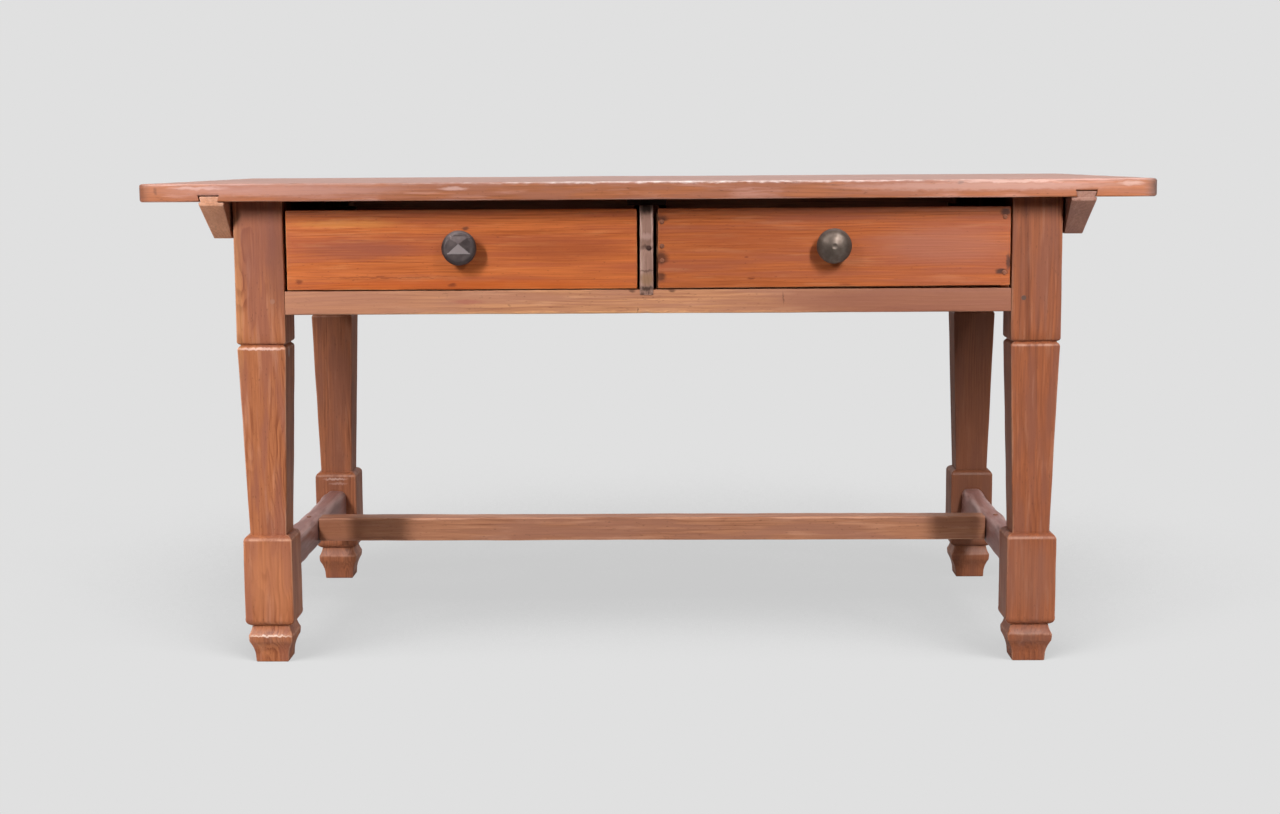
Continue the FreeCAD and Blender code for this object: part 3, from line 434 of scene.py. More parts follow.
def face_marks(face, marks):
    """Marks on an upright face across the table, each with its place and half sizes along and up."""
    return [((x, face, z), (half_x, MARK_DEPTH, half_z), colour, amount)
            for x, z, half_x, half_z, colour, amount in marks]


# Waxed board top: rubbed pink along its edges by hands, its face painted pale as a sheen, with painted
# highlights along its front edge, painted shade at its front corners and painted shade underneath
# Front edge of the top: cracks and rubbed patches; its long pale pink bands and the pale line under its upper
# arris are partly rubbed wear and partly painted highlights
TOP_EDGE_MARKS_AND_HIGHLIGHTS = [
    (489, 774, 7, 4, CRACK, 0.8), (752, 772, 26, 5, "#d0ada0", 0.6), (-560, 768, 260, 12, "#bd8c80", 0.6),
    (520, 769, 300, 9, "#c4978a", 0.7), (-300, 770, 30, 4, "#dab2a8", 0.6),
    (-700, 773, 60, 4, "#cfa59b", 0.7), (-480, 758, 120, 4, "#a06450", 0.5),
    (560, 776, 120, 3, "#e0bcb0", 0.6), (-766, 768, 4, 9, CRACK, 0.4),
]
# Painted reflection: the top's face painted pale pink for the sheen it shows when seen at a grazing angle
TOP_FACE_PAINTED_SHEEN = [((0, 60, 784), (2400, 1500, 11), "#c8aeaa", 0.5)]
# Painted shade at the top's rounded front corners, where they turn away from the lamps
TOP_CORNER_PAINTED_SHADE = [
    ((-800, -400, 765), (30, 60, 40), "#6e4536", 0.8), ((800, -400, 765), (32, 60, 40), "#5f4c46", 0.9),
]
# Painted highlight: a near-white line along the top's front arris, partly bare rubbed wood
TOP_ARRIS_PAINTED_HIGHLIGHT = [((100, -413, 782), (700, 9, 7), "#fbece6", 1)]
# Painted shade on the underside of the front board behind its edge, seen through the gap over the drawers
TOP_UNDERSIDE_PAINTED_SHADE = [((0, -320, 746), (640, 80, 12), "#1d120d", 0.95)]
FRONT_BOARD_MARKS_AND_PAINTED_LIGHT = TOP_FACE_PAINTED_SHEEN + face_marks(TOP_EDGE, TOP_EDGE_MARKS_AND_HIGHLIGHTS) + TOP_CORNER_PAINTED_SHADE + TOP_ARRIS_PAINTED_HIGHLIGHT + TOP_UNDERSIDE_PAINTED_SHADE
TOP_FINISH = {
    "cloud": (110, 12), "rub": 0.3, "arris": 0.5, "roughness": 0.52, "specular": 0.35, "relief": 0.1,
}
top_woods = {
    "front": softwood("waxed_pine_top_front", "X", "#b46d46", "#864c2e", "#a2664e", "#dcaa9e",
                      pith=(-300, 640), marks=FRONT_BOARD_MARKS_AND_PAINTED_LIGHT, **TOP_FINISH),
    "middle": softwood("waxed_pine_top_middle", "X", "#ad6a48", "#804a30", "#9a6350", "#d0a093",
                       pith=(60, 700), wander=16, marks=TOP_FACE_PAINTED_SHEEN, **TOP_FINISH),
    "back": softwood("waxed_pine_top_back", "X", "#b87350", "#8a5034", "#a66c56", "#d8a89a",
                     pith=(250, 660), wander=12, marks=TOP_FACE_PAINTED_SHEEN, **TOP_FINISH),
}

# Front legs: planed and waxed pine, with flat-sawn figure on the shafts; the left one carries painted shade
# and highlights
# Left leg: its upper part painted darker as shade under the top and its block painted paler where more light
# falls; pale lines painted as highlights on the lip under the groove and on the foot's arris
LEFT_LEG_MARKS_AND_PAINTED_LIGHT = [
    (-617, 700, 70, 110, "#8a5241", 0.6), (-590, 650, 22, 130, "#774638", 0.6),
    (-652, 600, 10, 200, "#bd8556", 0.35), (-617, 140, 60, 90, "#bd7a54", 0.4),
    (-617, 20, 60, 40, "#8f6450", 0.4), (-617, 516, 50, 3, "#e3b9aa", 0.6),
    (-617, 45, 50, 2.4, "#f0d2c0", 0.8),
]
LEFT_LEG_SCRATCH = [((-577, -335, 508), (8, 6, 12), "#c9b3a6", 0.8)]
left_leg_wood = softwood("waxed_pine_leg_left", "Z", "#ad6a44", "#7f4429", "#8f5540", "#d09a7c",
                         pith=(-640, -310), contrast=0.4, wander=20, swirl=(150, 45), cloud=(150, 20),
                         marks=face_marks(LEG_FACE, LEFT_LEG_MARKS_AND_PAINTED_LIGHT) + LEFT_LEG_SCRATCH)
RIGHT_LEG_MARKS = [(617, 20, 60, 60, "#6b4a3f", 0.5), (617, 140, 60, 80, "#855745", 0.4)]
right_leg_wood = softwood("waxed_pine_leg_right", "Z", "#935434", "#6c3924", "#7c4936", "#b07f66",
                          pith=(590, -300), cloud=(150, 20), marks=face_marks(LEG_FACE, RIGHT_LEG_MARKS))

# Rear legs: the same wood, darker, the right one most
REAR_LEG_MARKS = [
    ((617, 324, 400), (140, 140, 700), "#5a3423", 0.6), ((617, 300, 130), (75, 75, 120), "#4f2f20", 0.5),
    ((-617, 284, 199), (30, 12, 3), "#c4a498", 0.5), ((-612, 284, 190), (24, 12, 3), "#b18d80", 0.4),
]
rear_leg_wood = softwood("dark_waxed_pine_leg", "Z", "#93583a", "#663722", "#784733", "#a5735a",
                         pith=(-600, 300), cloud=(150, 26), marks=REAR_LEG_MARKS)

# Front rail: paler and greyer than the drawers, rubbed by clothes, with painted shade on top under the
# drawers
RAIL_MARKS = [
    (480, 590, 430, 60, "#87523f", 0.85), (-500, 590, 240, 60, "#a56f57", 0.6),
    (-285, 590, 36, 5, "#a3534a", 0.4), (-15, 573, 1.6, 9, CRACK, 0.8),
    (-23, 606, 7, 4, CRACK, 0.7), (40, 606, 8, 4, CRACK, 0.7),
    (217, 594, 1.4, 16, CRACK, 0.5), (-90, 570, 460, 5, "#e3a873", 0.6),
]
# Painted shade on the rail's top under the drawers, so that the gap below them shows dark
RAIL_TOP_PAINTED_SHADE = [((0, -330, 614), (900, 60, 8), "#26170f", 0.95)]
rail_wood = softwood("rubbed_pine_rail", "X", "#c68c64", "#965f46", "#a9735a", "#e6b08a", pith=(-330, 540),
                     cloud=(170, 14), roughness=0.5, marks=face_marks(LEG_FACE, RAIL_MARKS) + RAIL_TOP_PAINTED_SHADE)

# Aprons and battens: planed and seldom handled, with plain grain; the aprons even in tone, the left batten
# painted lighter and the right one painted darker for the light and shade that fall on them
APRON_TONES = ("#93624a", "#6b4130", "#825746", "#b08068")
apron_wood = softwood("planed_pine_apron", "X", *APRON_TONES, pith=(300, 560))
side_apron_wood = softwood("planed_pine_side_apron", "Y", *APRON_TONES, pith=(600, 560))
# Lit and shaded copies: the left batten painted as lit, the right one painted as in shade
left_batten_wood_painted_lit = softwood("planed_pine_batten_left_painted_lit", "Y", "#cc9170", "#a26c50", "#b17a5d", "#dcae97",
                            pith=(-700, 690))
right_batten_wood_painted_shade = softwood("planed_pine_batten_right_painted_shade", "Y", "#9a6d5c", "#744d3f", "#865f53", "#b28b7c",
                             pith=(700, 690))

# Stretchers: worn round and grey by shoes; the long one painted dark at its left end as shadow
# The first mark is painted shadow at the long stretcher's left end
STRETCHER_MARKS_AND_PAINTED_SHADOW = [
    ((-575, 0, 157), (95, 60, 60), "#74452f", 0.7), ((200, -30, 178), (420, 14, 3), "#b5683c", 0.7),
]
stretcher_wood = softwood("foot_worn_pine_stretcher", "X", "#a26f52", "#784a34", "#8b5d49", "#cb987b",
                          pith=(30, 120), cloud=(170, 16), marks=STRETCHER_MARKS_AND_PAINTED_SHADOW)
side_stretcher_wood = softwood("foot_worn_pine_side_stretcher", "Y", "#8a6058", "#684239", "#80605c",
                               "#b0918b", pith=(600, 120))

# Post between the drawers: bare and grey, dull, with painted shade at its head, under its upper swell, in the
# step between its swells and at its foot, and a painted highlight on its upper swell
DIVIDER_MARKS_AND_PAINTED_LIGHT = [
    (0, 738, 20, 15, "#21150f", 0.9), (0, 692, 16, 8, "#b8958a", 0.6), (0, 675, 16, 6, "#4f382f", 0.8),
    (0, 625, 18, 14, "#8f6b4c", 0.7), (0, 610, 18, 6, "#33221a", 0.85), (0, 638, 18, 2.4, "#5f453b", 0.7),
    (-6, 601, 4, 5, CRACK, 0.6), (3, 603, 2, 5, CRACK, 0.6), (8, 600, 3, 4, CRACK, 0.6),
]
divider_wood = softwood("bare_grey_pine_post", "Z", "#a07c6d", "#76584b", "#8b695c", "#cdab9e",
                        pith=(-20, -340), ring=4, arris=0.8, roughness=0.7,
                        marks=face_marks(POST_FACE, DIVIDER_MARKS_AND_PAINTED_LIGHT))

# Drawer fronts: orange-red waxed pine with close straight grain, glossier than the rest
LEFT_FRONT_MARKS = [
    (-295, 617, 330, 12, "#b75419", 0.6), (-420, 629, 140, 2, "#7e3c1c", 0.6), (-553, 623, 8, 6, KNOT, 0.7),
    (-309, 617, 9, 4, KNOT, 0.7), (-287, 706, 8, 5, "#5c3326", 0.8), (-460, 672, 130, 22, "#8f4d3a", 0.6),
    (-130, 672, 150, 24, "#924629", 0.6), (-480, 714, 120, 9, "#d08a45", 0.5),
    (-190, 700, 120, 5, "#8b431f", 0.4),
]
left_front_wood = softwood("waxed_pine_drawer_left", "X", "#c76d38", "#924520", "#a65432", "#d9945f",
                           pith=(-320, 480), cloud=(240, 16), roughness=0.42,
                           marks=face_marks(DRAWER_FACE, LEFT_FRONT_MARKS))
RIGHT_FRONT_MARKS = [
    (23, 720, 15, 7, IRON_STAIN, 0.75), (23, 658, 16, 15, IRON_STAIN, 0.75),
    (22, 628, 13, 11, IRON_STAIN, 0.7), (566, 727, 11, 9, IRON_STAIN, 0.8),
    (561, 634, 13, 6, IRON_STAIN, 0.85), (572, 650, 5, 18, IRON_STAIN, 0.8),
    (166, 625, 8, 3, KNOT, 0.7), (158, 659, 5, 3, KNOT, 0.6), (316, 614, 14, 3, KNOT, 0.5),
    (470, 676, 150, 40, "#a2644f", 0.6), (160, 690, 130, 30, "#974a2a", 0.4),
]
right_front_wood = softwood("waxed_pine_drawer_right", "X", "#b46133", "#86411f", "#9a5135", "#cc8a60",
                            pith=(-320, 500), cloud=(240, 16), roughness=0.42,
                            marks=face_marks(DRAWER_FACE, RIGHT_FRONT_MARKS))

# Inside of the carcase: bare planed wood, dull, browned by age; the kicker under the top painted dark as
# shade
INNER_TONES = ("#9a6d4d", "#775137", "#865d43", "#a98265")
inner_wood = softwood("bare_planed_pine_inside", "Y", *INNER_TONES, pith=(0, 560), roughness=0.75)
inner_cross_wood = softwood("bare_planed_pine_inside_cross", "X", *INNER_TONES, pith=(250, 560),
                            roughness=0.75)
# Painted shade: near-black wood for the kicker, which sits in the shade under the top
painted_shade_wood = softwood("painted_shade_planed_pine", "Y", "#3d2a20", "#291b14", "#33231a", "#4d382b", pith=(0, 560),
                     roughness=0.75)

# Pegs: whittled from hardwood with closer years, the right one in the front dark, the left one rubbed pale
PEG_MARKS = [(597, 592, 8, 8, "#54403a", 0.9), (-597, 592, 8, 8, "#a8745e", 0.6)]
peg_wood = softwood("whittled_hardwood_peg", "Z", "#85573f", "#633c2a", "#724835", "#9c7058", pith=(0, 0),
                    ring=3, marks=face_marks(LEG_FACE, PEG_MARKS))

# Knobs: forged by hand, uneven, the left one dark and dull, the right one browner; their bright colour is
# painted highlight and reflection
left_knob_iron = forged_iron("forged_iron_knob_left", "#514747", "#5e5352", "#533f38", "#c8baba",
                             roughness=0.5)
right_knob_iron = forged_iron("forged_iron_knob_right", "#64574f", "#766960", "#5f4637", "#b8a9a3",
                              roughness=0.46)

# Nails: rusted dull and brown, those in the drawer front waxed over with the wood
nail_iron = forged_iron("rusted_iron_nail", "#3f2620", "#4d332c", "#45291d", "#4d332c", roughness=0.7,
                        metallic=0.3)
waxed_nail_iron = forged_iron("waxed_over_iron_nail", "#7d4a32", "#8a5238", "#6b3a26", "#8a5238",
                              roughness=0.6, metallic=0.1)


# Top boards with their stretch of the dovetail grooves

GROOVE_DEPTH = 9.7
GROOVE_MIDDLE = 683.5
GROOVE_NECK = 14.2
GROOVE_WIDE = 17.2
TOP_CORNER_ROUND = 12


def top_board(name, rounds, seed):
    """One board of the top. The front and back boards have the top's rounded corners."""
    low, high = extent(f"top_board_{name}")
    walls = [middle + side * GROOVE_NECK for middle in (-GROOVE_MIDDLE, GROOVE_MIDDLE) for side in (-1, 1)]

    def section(place):
        cut = round_back(TOP_CORNER_ROUND, min(place - low.x, high.x - place))
        front = low.y + (cut if name == "front" else 0)
        back = high.y - (cut if name == "back" else 0)
        in_groove = abs(abs(place) - GROOVE_MIDDLE) < GROOVE_NECK
        floor = low.z + GROOVE_DEPTH if in_groove else low.z
        return [(front, floor), (back, floor), (back, high.z), (front, high.z)]

    def undercut(spot):
        """Lean the walls of the grooves outward towards the groove's floor."""
        for wall in walls:
            if abs(spot[0] - wall) < 2 * STEP_HALF:
                outward = math.copysign(1, abs(wall) - GROOVE_MIDDLE) * math.copysign(1, wall)
                lean = outward * (GROOVE_WIDE - GROOVE_NECK)
                spot[0] += lean * min(1, (spot[2] - low.z) / GROOVE_DEPTH)
        return spot

    breaks = [wall + shift for wall in walls for shift in (-STEP_HALF, STEP_HALF)]
    piece = timber(f"top_board_{name}_plank", "X", (low.x, high.x), section, rounds, end_rounds=(8, 8),
                   gap=14, side_gap=11, wave=0.6, lump=0.2, breaks=breaks, bend=undercut, seed=seed)
    show(piece, f"top_board_{name}", "frame", top_woods[name])


top_board("front", [3, 0.8, 0.8, 3], 3.1)
top_board("middle", [0.8, 0.8, 0.8, 0.8], 5.7)
top_board("back", [0.8, 4, 5, 0.8], 8.9)


# Battens: undercut at both ends, thinner at the foot, with a dovetail in the top's grooves

BATTEN_WIDTH = 41
BATTEN_FOOT = 30
BATTEN_DROP = 59
BATTEN_LIP = 6
BATTEN_ROUNDS = [2, 3, 1.5, 0.4, 0.4, 0.4, 0.4, 1]
DOVETAIL_NECK = 14
DOVETAIL_WIDE = 17
DOVETAIL_DEPTH = 9.5


def batten(side, material):
    """A batten, drawn from its inner face outward."""
    sign = SIDES[side]
    low, high = extent(f"batten_{side}")
    inner = low.x if sign > 0 else high.x
    shoulder = high.z - DOVETAIL_DEPTH
    tail = GROOVE_MIDDLE - abs(inner)

    def section(place):
        depth = min(BATTEN_DROP, BATTEN_LIP + min(place - low.y, high.y - place))
        outer = BATTEN_WIDTH - (BATTEN_WIDTH - BATTEN_FOOT) * depth / BATTEN_DROP
        corners = [(0, shoulder - depth), (outer, shoulder - depth), (BATTEN_WIDTH, shoulder),
                   (tail + DOVETAIL_NECK, shoulder), (tail + DOVETAIL_WIDE, high.z),
                   (tail - DOVETAIL_WIDE, high.z), (tail - DOVETAIL_NECK, shoulder), (0, shoulder)]
        placed = [(inner + sign * across, up) for across, up in corners]
        return placed if sign > 0 else placed[::-1]

    rounds = BATTEN_ROUNDS if sign > 0 else BATTEN_ROUNDS[::-1]
    undercut = BATTEN_DROP - BATTEN_LIP
    piece = timber(f"batten_{side}_bar", "Y", (low.y, high.y), section, rounds, end_rounds=(1.5, 1.5),
                   breaks=[low.y + undercut, high.y - undercut], seed=sign * 2.3)
    show(piece, f"batten_{side}", "frame", material)


batten("left", left_batten_wood_painted_lit)
batten("right", right_batten_wood_painted_shade)


# Legs: square, with a foot, a block for the stretchers and a tapered shaft under a groove.
# The profile gives heights, half widths, and the bulge of the run up to that height as a share of its length.

LEG_PROFILE = [
    (0, 27, 0), (13, 27.8, 0), (35, 35.8, -0.05), (46, 36.6, 0.03), (62, 31, -0.05), (77, 40, 0.22),
    (203, 40, 0), (212, 30.2, 0.17), (513, 39.4, 0), (520, 36, 0.15), (521, 35, 0), (522.5, 35, 0),
    (527, 40, 0.15), (751, 40, 0),
]
# Pale ridges painted round the leg at the foot's arris, the block's shoulder and the lip under the groove:
# rubbed wear and painted highlights
LEG_HIGHLIGHT_RIDGES = [46, 205, 517]
ARC_STEPS = 8


def leg_outline():
    """Heights and half widths of the leg, with its arcs drawn as short runs."""
    outline = [LEG_PROFILE[0][:2]]
    for (low, narrow, _), (high, wide, bulge) in zip(LEG_PROFILE, LEG_PROFILE[1:]):
        steps = ARC_STEPS if bulge else 1
        for step in range(1, steps + 1):
            share = step / steps
            rise = 4 * bulge * share * (1 - share)
            outline.append((low + (high - low) * share - rise * (wide - narrow),
                            narrow + (wide - narrow) * share + rise * (high - low)))
    return outline


def leg(end, side, material, seed):
    """A leg, cut alike on all four sides."""
    node = f"leg_{end}_{side}"
    low, high = extent(node)
    centre = (low + high) / 2
    outline = leg_outline()

    def section(place):
        half = level_at(outline, max(0, min(LEG_PROFILE[-1][0], place)))
        return [(centre.x + across * half, centre.y + deep * half)
                for across, deep in ((-1, -1), (1, -1), (1, 1), (-1, 1))]

    piece = timber(f"{node}_post", "Z", (low.z, high.z), section, [3] * 4, end_rounds=(2, 0.5), gap=14,
                   side_gap=9, wave=0.5, lump=0.4, breaks=[height for height, _ in outline],
                   ridges=LEG_HIGHLIGHT_RIDGES, seed=seed)
    show(piece, node, "frame", material)


leg("front", "left", left_leg_wood, 1.7)
leg("front", "right", right_leg_wood, 4.2)
leg("rear", "left", rear_leg_wood, 6.6)
leg("rear", "right", rear_leg_wood, 9.4)


# Rail, aprons and stretchers; their tenons are out of sight inside the legs

SHOULDER_ROUND = 0.4


def between(node, along, reach, material, rounds, **wear):
    """A bar that shows between two shoulders, with its CAD piece's section."""
    low, high = extent(node)
    piece = timber(f"{node}_bar", along, (-reach, reach), oblong(low, high, along), rounds,
                   end_rounds=(SHOULDER_ROUND, SHOULDER_ROUND), **wear)
    show(piece, node, "frame", material)


between("front_rail", "X", LEG_INNER_X, rail_wood, [3, 1.5, 0.8, 1], chips=[(0, -3, 6, 5)], seed=2.2)
between("apron_rear", "X", LEG_INNER_X, apron_wood, [2] * 4, seed=3.3)
for side, sign in SIDES.items():
    between(f"apron_{side}", "Y", LEG_INNER_Y, side_apron_wood, [2] * 4, seed=4.4 * sign)
    between(f"stretcher_{side}", "Y", LEG_INNER_Y, side_stretcher_wood, [4, 4, 15, 15], wave=2.5, lump=1.4,
            gap=9, side_gap=6, seed=5.5 * sign)
between("stretcher_long", "X", STRETCHER_INNER_X, stretcher_wood, [3, 3, 4, 4], wave=1.2, lump=0.6,
        side_gap=7, seed=7.7)


# Post between the drawers: two worn swells, lapping over the rail at its foot.
# The swells are heights and how far the post stands proud of the rail there.

DIVIDER_SWELLS = [
    (600, 1.2), (609, 2.6), (624, 4.4), (636, 5.6), (638, 6.2), (655, 6), (668, 4), (674, 1.4),
    (680, 2.2), (690, 5.6), (700, 6.4), (715, 5), (730, 3.4), (741, 2.8),
]
DIVIDER_LAP = 0.5


def divider():
    """The post, which is only a thin lap in front of the rail below the rail's top."""
    low, high = extent("drawer_divider")

    def section(place):
        front = LEG_FACE - level_at(DIVIDER_SWELLS, max(low.z, min(high.z, place)))
        back = high.y if place > RAIL_TOP else LEG_FACE + DIVIDER_LAP
        return [(low.x, front), (high.x, front), (high.x, back), (low.x, back)]

    piece = timber("drawer_divider_post", "Z", (low.z, high.z), section, [4, 4, 1, 1], end_rounds=(1.2, 0.4),
                   gap=3, side_gap=4, wave=0.5, lump=0.7, breaks=[RAIL_TOP - STEP_HALF, RAIL_TOP + STEP_HALF],
                   seed=1.2)
    show(piece, "drawer_divider", "frame", divider_wood)


divider()


# Drawers

FRONT_LIP = 8
FRONT_REBATE = 14


def drawer_front(side, material, left_trim, sag, seed):
    """A drawer's front board, thinner where it laps over the sides. left_trim is how far its left end is
    planed back, sag how much its lower edge rises towards the right."""
    node = f"{side}_drawer_front"
    low, high = extent(node)

    def section(place):
        on_lip = min(place - low.x, high.x - place) < FRONT_REBATE
        back = low.y + FRONT_LIP if on_lip else high.y
        foot = low.z + sag * (place - low.x) / (high.x - low.x)
        return [(low.y, foot), (back, low.z), (back, high.z), (low.y, high.z)]

    steps = (low.x + FRONT_REBATE, high.x - FRONT_REBATE)
    breaks = [step + shift for step in steps for shift in (-STEP_HALF, STEP_HALF)]
    piece = timber(f"{node}_board", "X", (low.x + left_trim, high.x), section, [2, 0.8, 0.8, 2],
                   end_rounds=(2.5, 2), side_gap=9, wave=0.5, lump=0.25, breaks=breaks, seed=seed)
    show(piece, node, f"{side}_drawer", material)


drawer_front("left", left_front_wood, 2, 0, 1.1)
drawer_front("right", right_front_wood, 3, 2.6, 2.9)
for side in SIDES:
    body = f"{side}_drawer"
    for edge in SIDES:
        plank(f"{body}_side_{edge}", "Y", body, inner_wood, "inner_wood", wave=0.4)
    plank(f"{body}_back", "X", body, inner_cross_wood, "inner_wood", wave=0.4)
    plank(f"{body}_bottom", "X", body, inner_cross_wood, "inner_wood", radius=0.8, wave=0.3, side_gap=40)


# Iron knobs, forged by hand. A knob's outline is radii and how far they stand before the drawer's face.

KNOB_TURNS = 96
KNOB_RIM = [
    (28, 24), (20.5, 18.6), (12.5, 13.5), (10, 11), (13, 6), (15, 4), (15, 0), (4.9, 0), (4.9, -30), (0, -30),
]
KNOB_TIP = 0.1
FLAT_STEPS = 36
FLAT_WIDTH = 21.4
FLAT_REACH = 30.6
FLAT_EDGE = [(24, 30), (26.6, 28), (27.8, 25.6)]
FLAT_FACE = [(KNOB_TIP + FLAT_WIDTH * step / FLAT_STEPS, FLAT_REACH) for step in range(FLAT_STEPS + 1)]
FLAT_FACE += FLAT_EDGE
DOME_REACH = 37.4
DOME_CURVE = 78
DOME_BOSS = [(KNOB_TIP, 36.6), (2.5, 36.7), (4.2, 37.4), (5.6, 37.2)]
DOME_EDGE = [(24, 29.2), (26.6, 27.2), (27.8, 25.2)]
DOMED_FACE = DOME_BOSS + [(radius, DOME_REACH - radius ** 2 / DOME_CURVE) for radius in range(7, 22)]
DOMED_FACE += DOME_EDGE
RAISED_RADIUS = 21
UNEVEN_RADIUS = 16
HIGHLIGHT_RIM_RADIUS = 26
RIM_PAINTED_HIGHLIGHT = 0.6
UNEVEN_SHARE = 0.02
UNEVEN_LENGTH = 13


def knob(side, face, material, raised=None):
    """A knob turned round its stem, with a painted highlight on the top of its rim. raised gives what stands
    on its face at a place, and how much painted highlight or reflection it carries."""
    node = f"{side}_drawer_knob"
    low, high = extent(node)
    centre = (low + high) / 2
    rings = []
    painted_highlight = []
    for radius, reach in face + KNOB_RIM:
        ring = []
        for step in range(KNOB_TURNS):
            angle = 2 * math.pi * step / KNOB_TURNS
            across = radius * math.cos(angle)
            up = radius * math.sin(angle)
            height, shine = 0, 0
            if raised and radius < RAISED_RADIUS and reach > 0:
                height, shine = raised(across, up)
            # Painted highlight on the upper rim, where light from above falls
            if radius > HIGHLIGHT_RIM_RADIUS:
                shine = RIM_PAINTED_HIGHLIGHT * max(0, up / radius) ** 2
            shrink = 1
            if radius > UNEVEN_RADIUS:
                shrink -= UNEVEN_SHARE * swell(*(part / UNEVEN_LENGTH for part in (across, up, reach)))
            ring.append((centre.x + across * shrink, DRAWER_FACE - reach - height, centre.z + up * shrink))
            painted_highlight.append(shine)
        rings.append(ring)
    piece = skin(f"{node}_forging", rings, painted_highlight)
    show(piece, node, f"{side}_drawer", material)


PYRAMID_HEIGHT = 3.4
PYRAMID_HALF_WIDTH = 18
PYRAMID_UPPER_RUN = 12
PYRAMID_LOWER_RUN = 16
PYRAMID_OFF_CENTRE = 7
# Painted reflection: the point's lower face painted bright for the pale floor it faces
PYRAMID_PAINTED_REFLECTION = 0.8


def pyramid(across, up):
    """A low point with four faces, a little over the middle of the knob, its lower face painted bright as a
    reflection of the floor.
    """
    up -= PYRAMID_OFF_CENTRE
    lower = -up / PYRAMID_LOWER_RUN
    steepest = max(abs(across) / PYRAMID_HALF_WIDTH, up / PYRAMID_UPPER_RUN, lower)
    return max(0, PYRAMID_HEIGHT * (1 - steepest)), PYRAMID_PAINTED_REFLECTION if lower == steepest < 1 else 0


knob("left", FLAT_FACE, left_knob_iron, pyramid)
knob("right", DOMED_FACE, right_knob_iron)


# The other CAD pieces keep their shape and get their finish

PLAIN_FINISHES = [
    (inner_wood, ["runner_left", "runner_centre", "runner_right", "guide_left", "guide_centre", "guide_right",
                  "drawer_stops"]),
    (painted_shade_wood, ["kicker"]),
    (peg_wood, ["batten_pegs", "rail_pegs", "rear_apron_pegs", "side_apron_pegs", "stretcher_pegs"]),
    (nail_iron, ["divider_nail", "left_drawer_side_brads", "right_drawer_side_brads",
                 "left_drawer_bottom_brads", "right_drawer_bottom_brads"]),
    (waxed_nail_iron, ["right_drawer_front_nails"]),
    (left_knob_iron, ["left_drawer_knob_nut"]),
    (right_knob_iron, ["right_drawer_knob_nut"]),
]
for material, nodes in PLAIN_FINISHES:
    for node in nodes:
        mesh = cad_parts[node].data
        mesh.materials.clear()
        mesh.materials.append(material)


# Studio, in metres: a pale floor and an even sky, strip lamps left and right of the camera, one lamp
# overhead, and soft lamps at the ends and behind that show in no gloss

BACKDROP = "#e0e0e0"
FLOOR_HALF = 30
SHADOW_LEAN = math.radians(58)
SHADOW_REACH = 2
SHADOW_DARK, SHADOW_CLEAR = 0.67, 0.89
SHADOW_DEPTH = 0.79
ROOM_LIGHT = 0.09


def floor():
    """Paper on the floor. The camera sees it evenly pale, with the table's soft shadow, which falls away
    from the viewer."""
    material, tree = new_tree("pale_studio_paper")
    matt = add(tree, "BsdfDiffuse", None, {"Color": linear("#b4b4b4")})
    to_lamp = add(tree, "VectorRotate", {"rotation_type": "X_AXIS"},
                  {0: add(tree, "NewGeometry").outputs["Normal"], "Angle": SHADOW_LEAN})
    open_sky = add(tree, "AmbientOcclusion", {"samples": 16}, {"Distance": SHADOW_REACH, "Normal": to_lamp})
    shadow = add(tree, "MapRange", SMOOTH,
                 {0: open_sky.outputs["AO"], 1: SHADOW_DARK, 2: SHADOW_CLEAR, 3: SHADOW_DEPTH})
    glow = add(tree, "Emission", None, {"Color": linear(BACKDROP), "Strength": shadow})
    seen = add(tree, "LightPath").outputs["Is Camera Ray"]
    shader = add(tree, "MixShader", None, {0: seen, 1: matt, 2: glow})
    add(tree, "OutputMaterial", None, {"Surface": shader})
    mesh = bpy.data.meshes.new("studio_floor")
    corners = [(FLOOR_HALF * across, FLOOR_HALF * deep, 0)
               for across, deep in ((-1, -1), (1, -1), (1, 1), (-1, 1))]
    mesh.from_pydata(corners, [], [(0, 1, 2, 3)])
    mesh.materials.append(material)
    piece = bpy.data.objects.new("studio_floor", mesh)
    bpy.context.scene.collection.objects.link(piece)


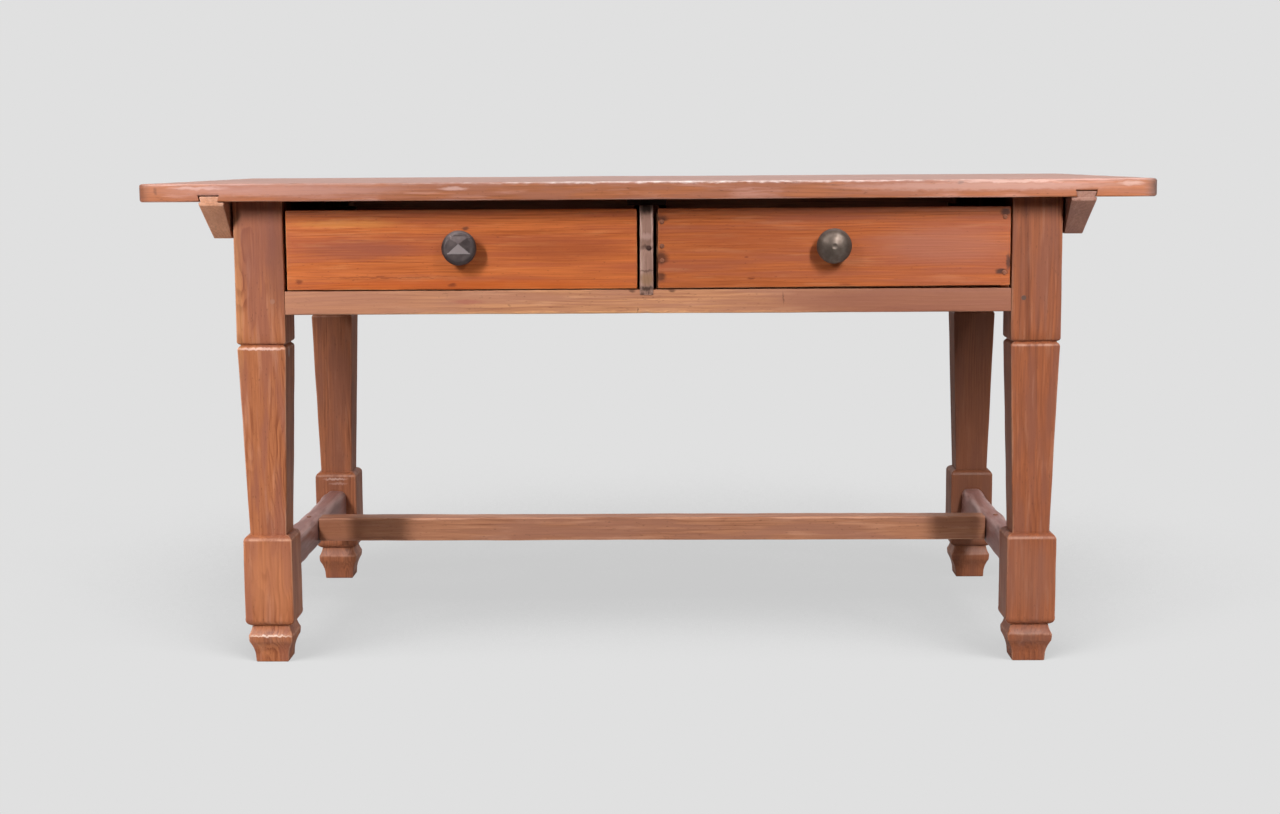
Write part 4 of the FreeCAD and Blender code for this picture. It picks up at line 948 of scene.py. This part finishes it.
def sky():
    """A pale backdrop behind the table, also in its gloss, and a dim room in front of it."""
    world = bpy.data.worlds.new("studio_sky")
    bpy.context.scene.world = world
    world.use_nodes = True
    tree = world.node_tree
    tree.nodes.clear()
    path = add(tree, "LightPath")
    aim = add(tree, "SeparateXYZ", None, {0: add(tree, "TexCoord").outputs["Generated"]})
    behind = add(tree, "MapRange", SMOOTH, {0: aim.outputs["Y"], 1: -0.2, 2: 0.4})
    in_gloss = add(tree, "Math", {"operation": "MULTIPLY"}, {0: path.outputs["Is Glossy Ray"], 1: behind})
    seen = add(tree, "Math", {"operation": "MAXIMUM"}, {0: path.outputs["Is Camera Ray"], 1: in_gloss})
    light = add(tree, "Background", None, {"Color": linear("#ffffff"), "Strength": ROOM_LIGHT})
    backdrop = add(tree, "Background", None, {"Color": linear(BACKDROP), "Strength": 1})
    shader = add(tree, "MixShader", None, {0: seen, 1: light, 2: backdrop})
    add(tree, "OutputWorld", None, {"Surface": shader})


def lamp(name, place, aim, size, spread, power, gloss=True):
    """A soft lamp. Its spread is in degrees and its power in watts; gloss says if it shows in reflections."""
    light = bpy.data.lights.new(name, "AREA")
    light.shape = "RECTANGLE"
    light.size, light.size_y = size
    light.spread = math.radians(spread)
    light.energy = power
    piece = bpy.data.objects.new(name, light)
    piece.location = place
    piece.visible_glossy = gloss
    piece.rotation_euler = (Vector(aim) - Vector(place)).to_track_quat("-Z", "Y").to_euler()
    bpy.context.scene.collection.objects.link(piece)


def camera():
    """The photograph's viewpoint, worked out from the table's corners in it."""
    lens = bpy.data.cameras.new("camera")
    lens.sensor_width = 36
    lens.lens = 55.6
    stand = (0.0471, -3.5006, 0.8175)
    yaw, pitch, roll = 0.0188, 0.126, -0.0065
    turn = Matrix.Rotation(yaw, 4, "Z") @ Matrix.Rotation(math.pi / 2 - pitch, 4, "X")
    turn = turn @ Matrix.Rotation(roll, 4, "Z")
    piece = bpy.data.objects.new("camera", lens)
    piece.matrix_world = Matrix.Translation(stand) @ turn
    bpy.context.scene.collection.objects.link(piece)
    bpy.context.scene.camera = piece


floor()
sky()
lamp("left_strip_softbox", (-1.65, -2.75, 2.05), (-0.95, -0.36, 0.45), size=(0.2, 1.2), spread=56, power=14.2)
lamp("right_strip_softbox", (1.2, -2.75, 2.05), (0.9, -0.36, 0.45), size=(0.2, 1.2), spread=56, power=13.2)
lamp("overhead_softbox", (0, -1.5, 3), (0, -0.1, 0.5), size=(1.6, 0.8), spread=120, power=3.8)
for side, sign in SIDES.items():
    lamp(f"{side}_end_softbox", (sign * 3, 0.2, 1.5), (sign * 0.6, 0.1, 0.5), size=(1.2, 1), spread=100,
         power=9, gloss=False)
    lamp(f"{side}_rear_softbox", (sign * 1.1, 2.9, 2.3), (sign * 0.5, 0.36, 0.45), size=(0.6, 1), spread=90,
         power=11, gloss=False)
camera()
bpy.context.scene.view_settings.view_transform = "Standard"
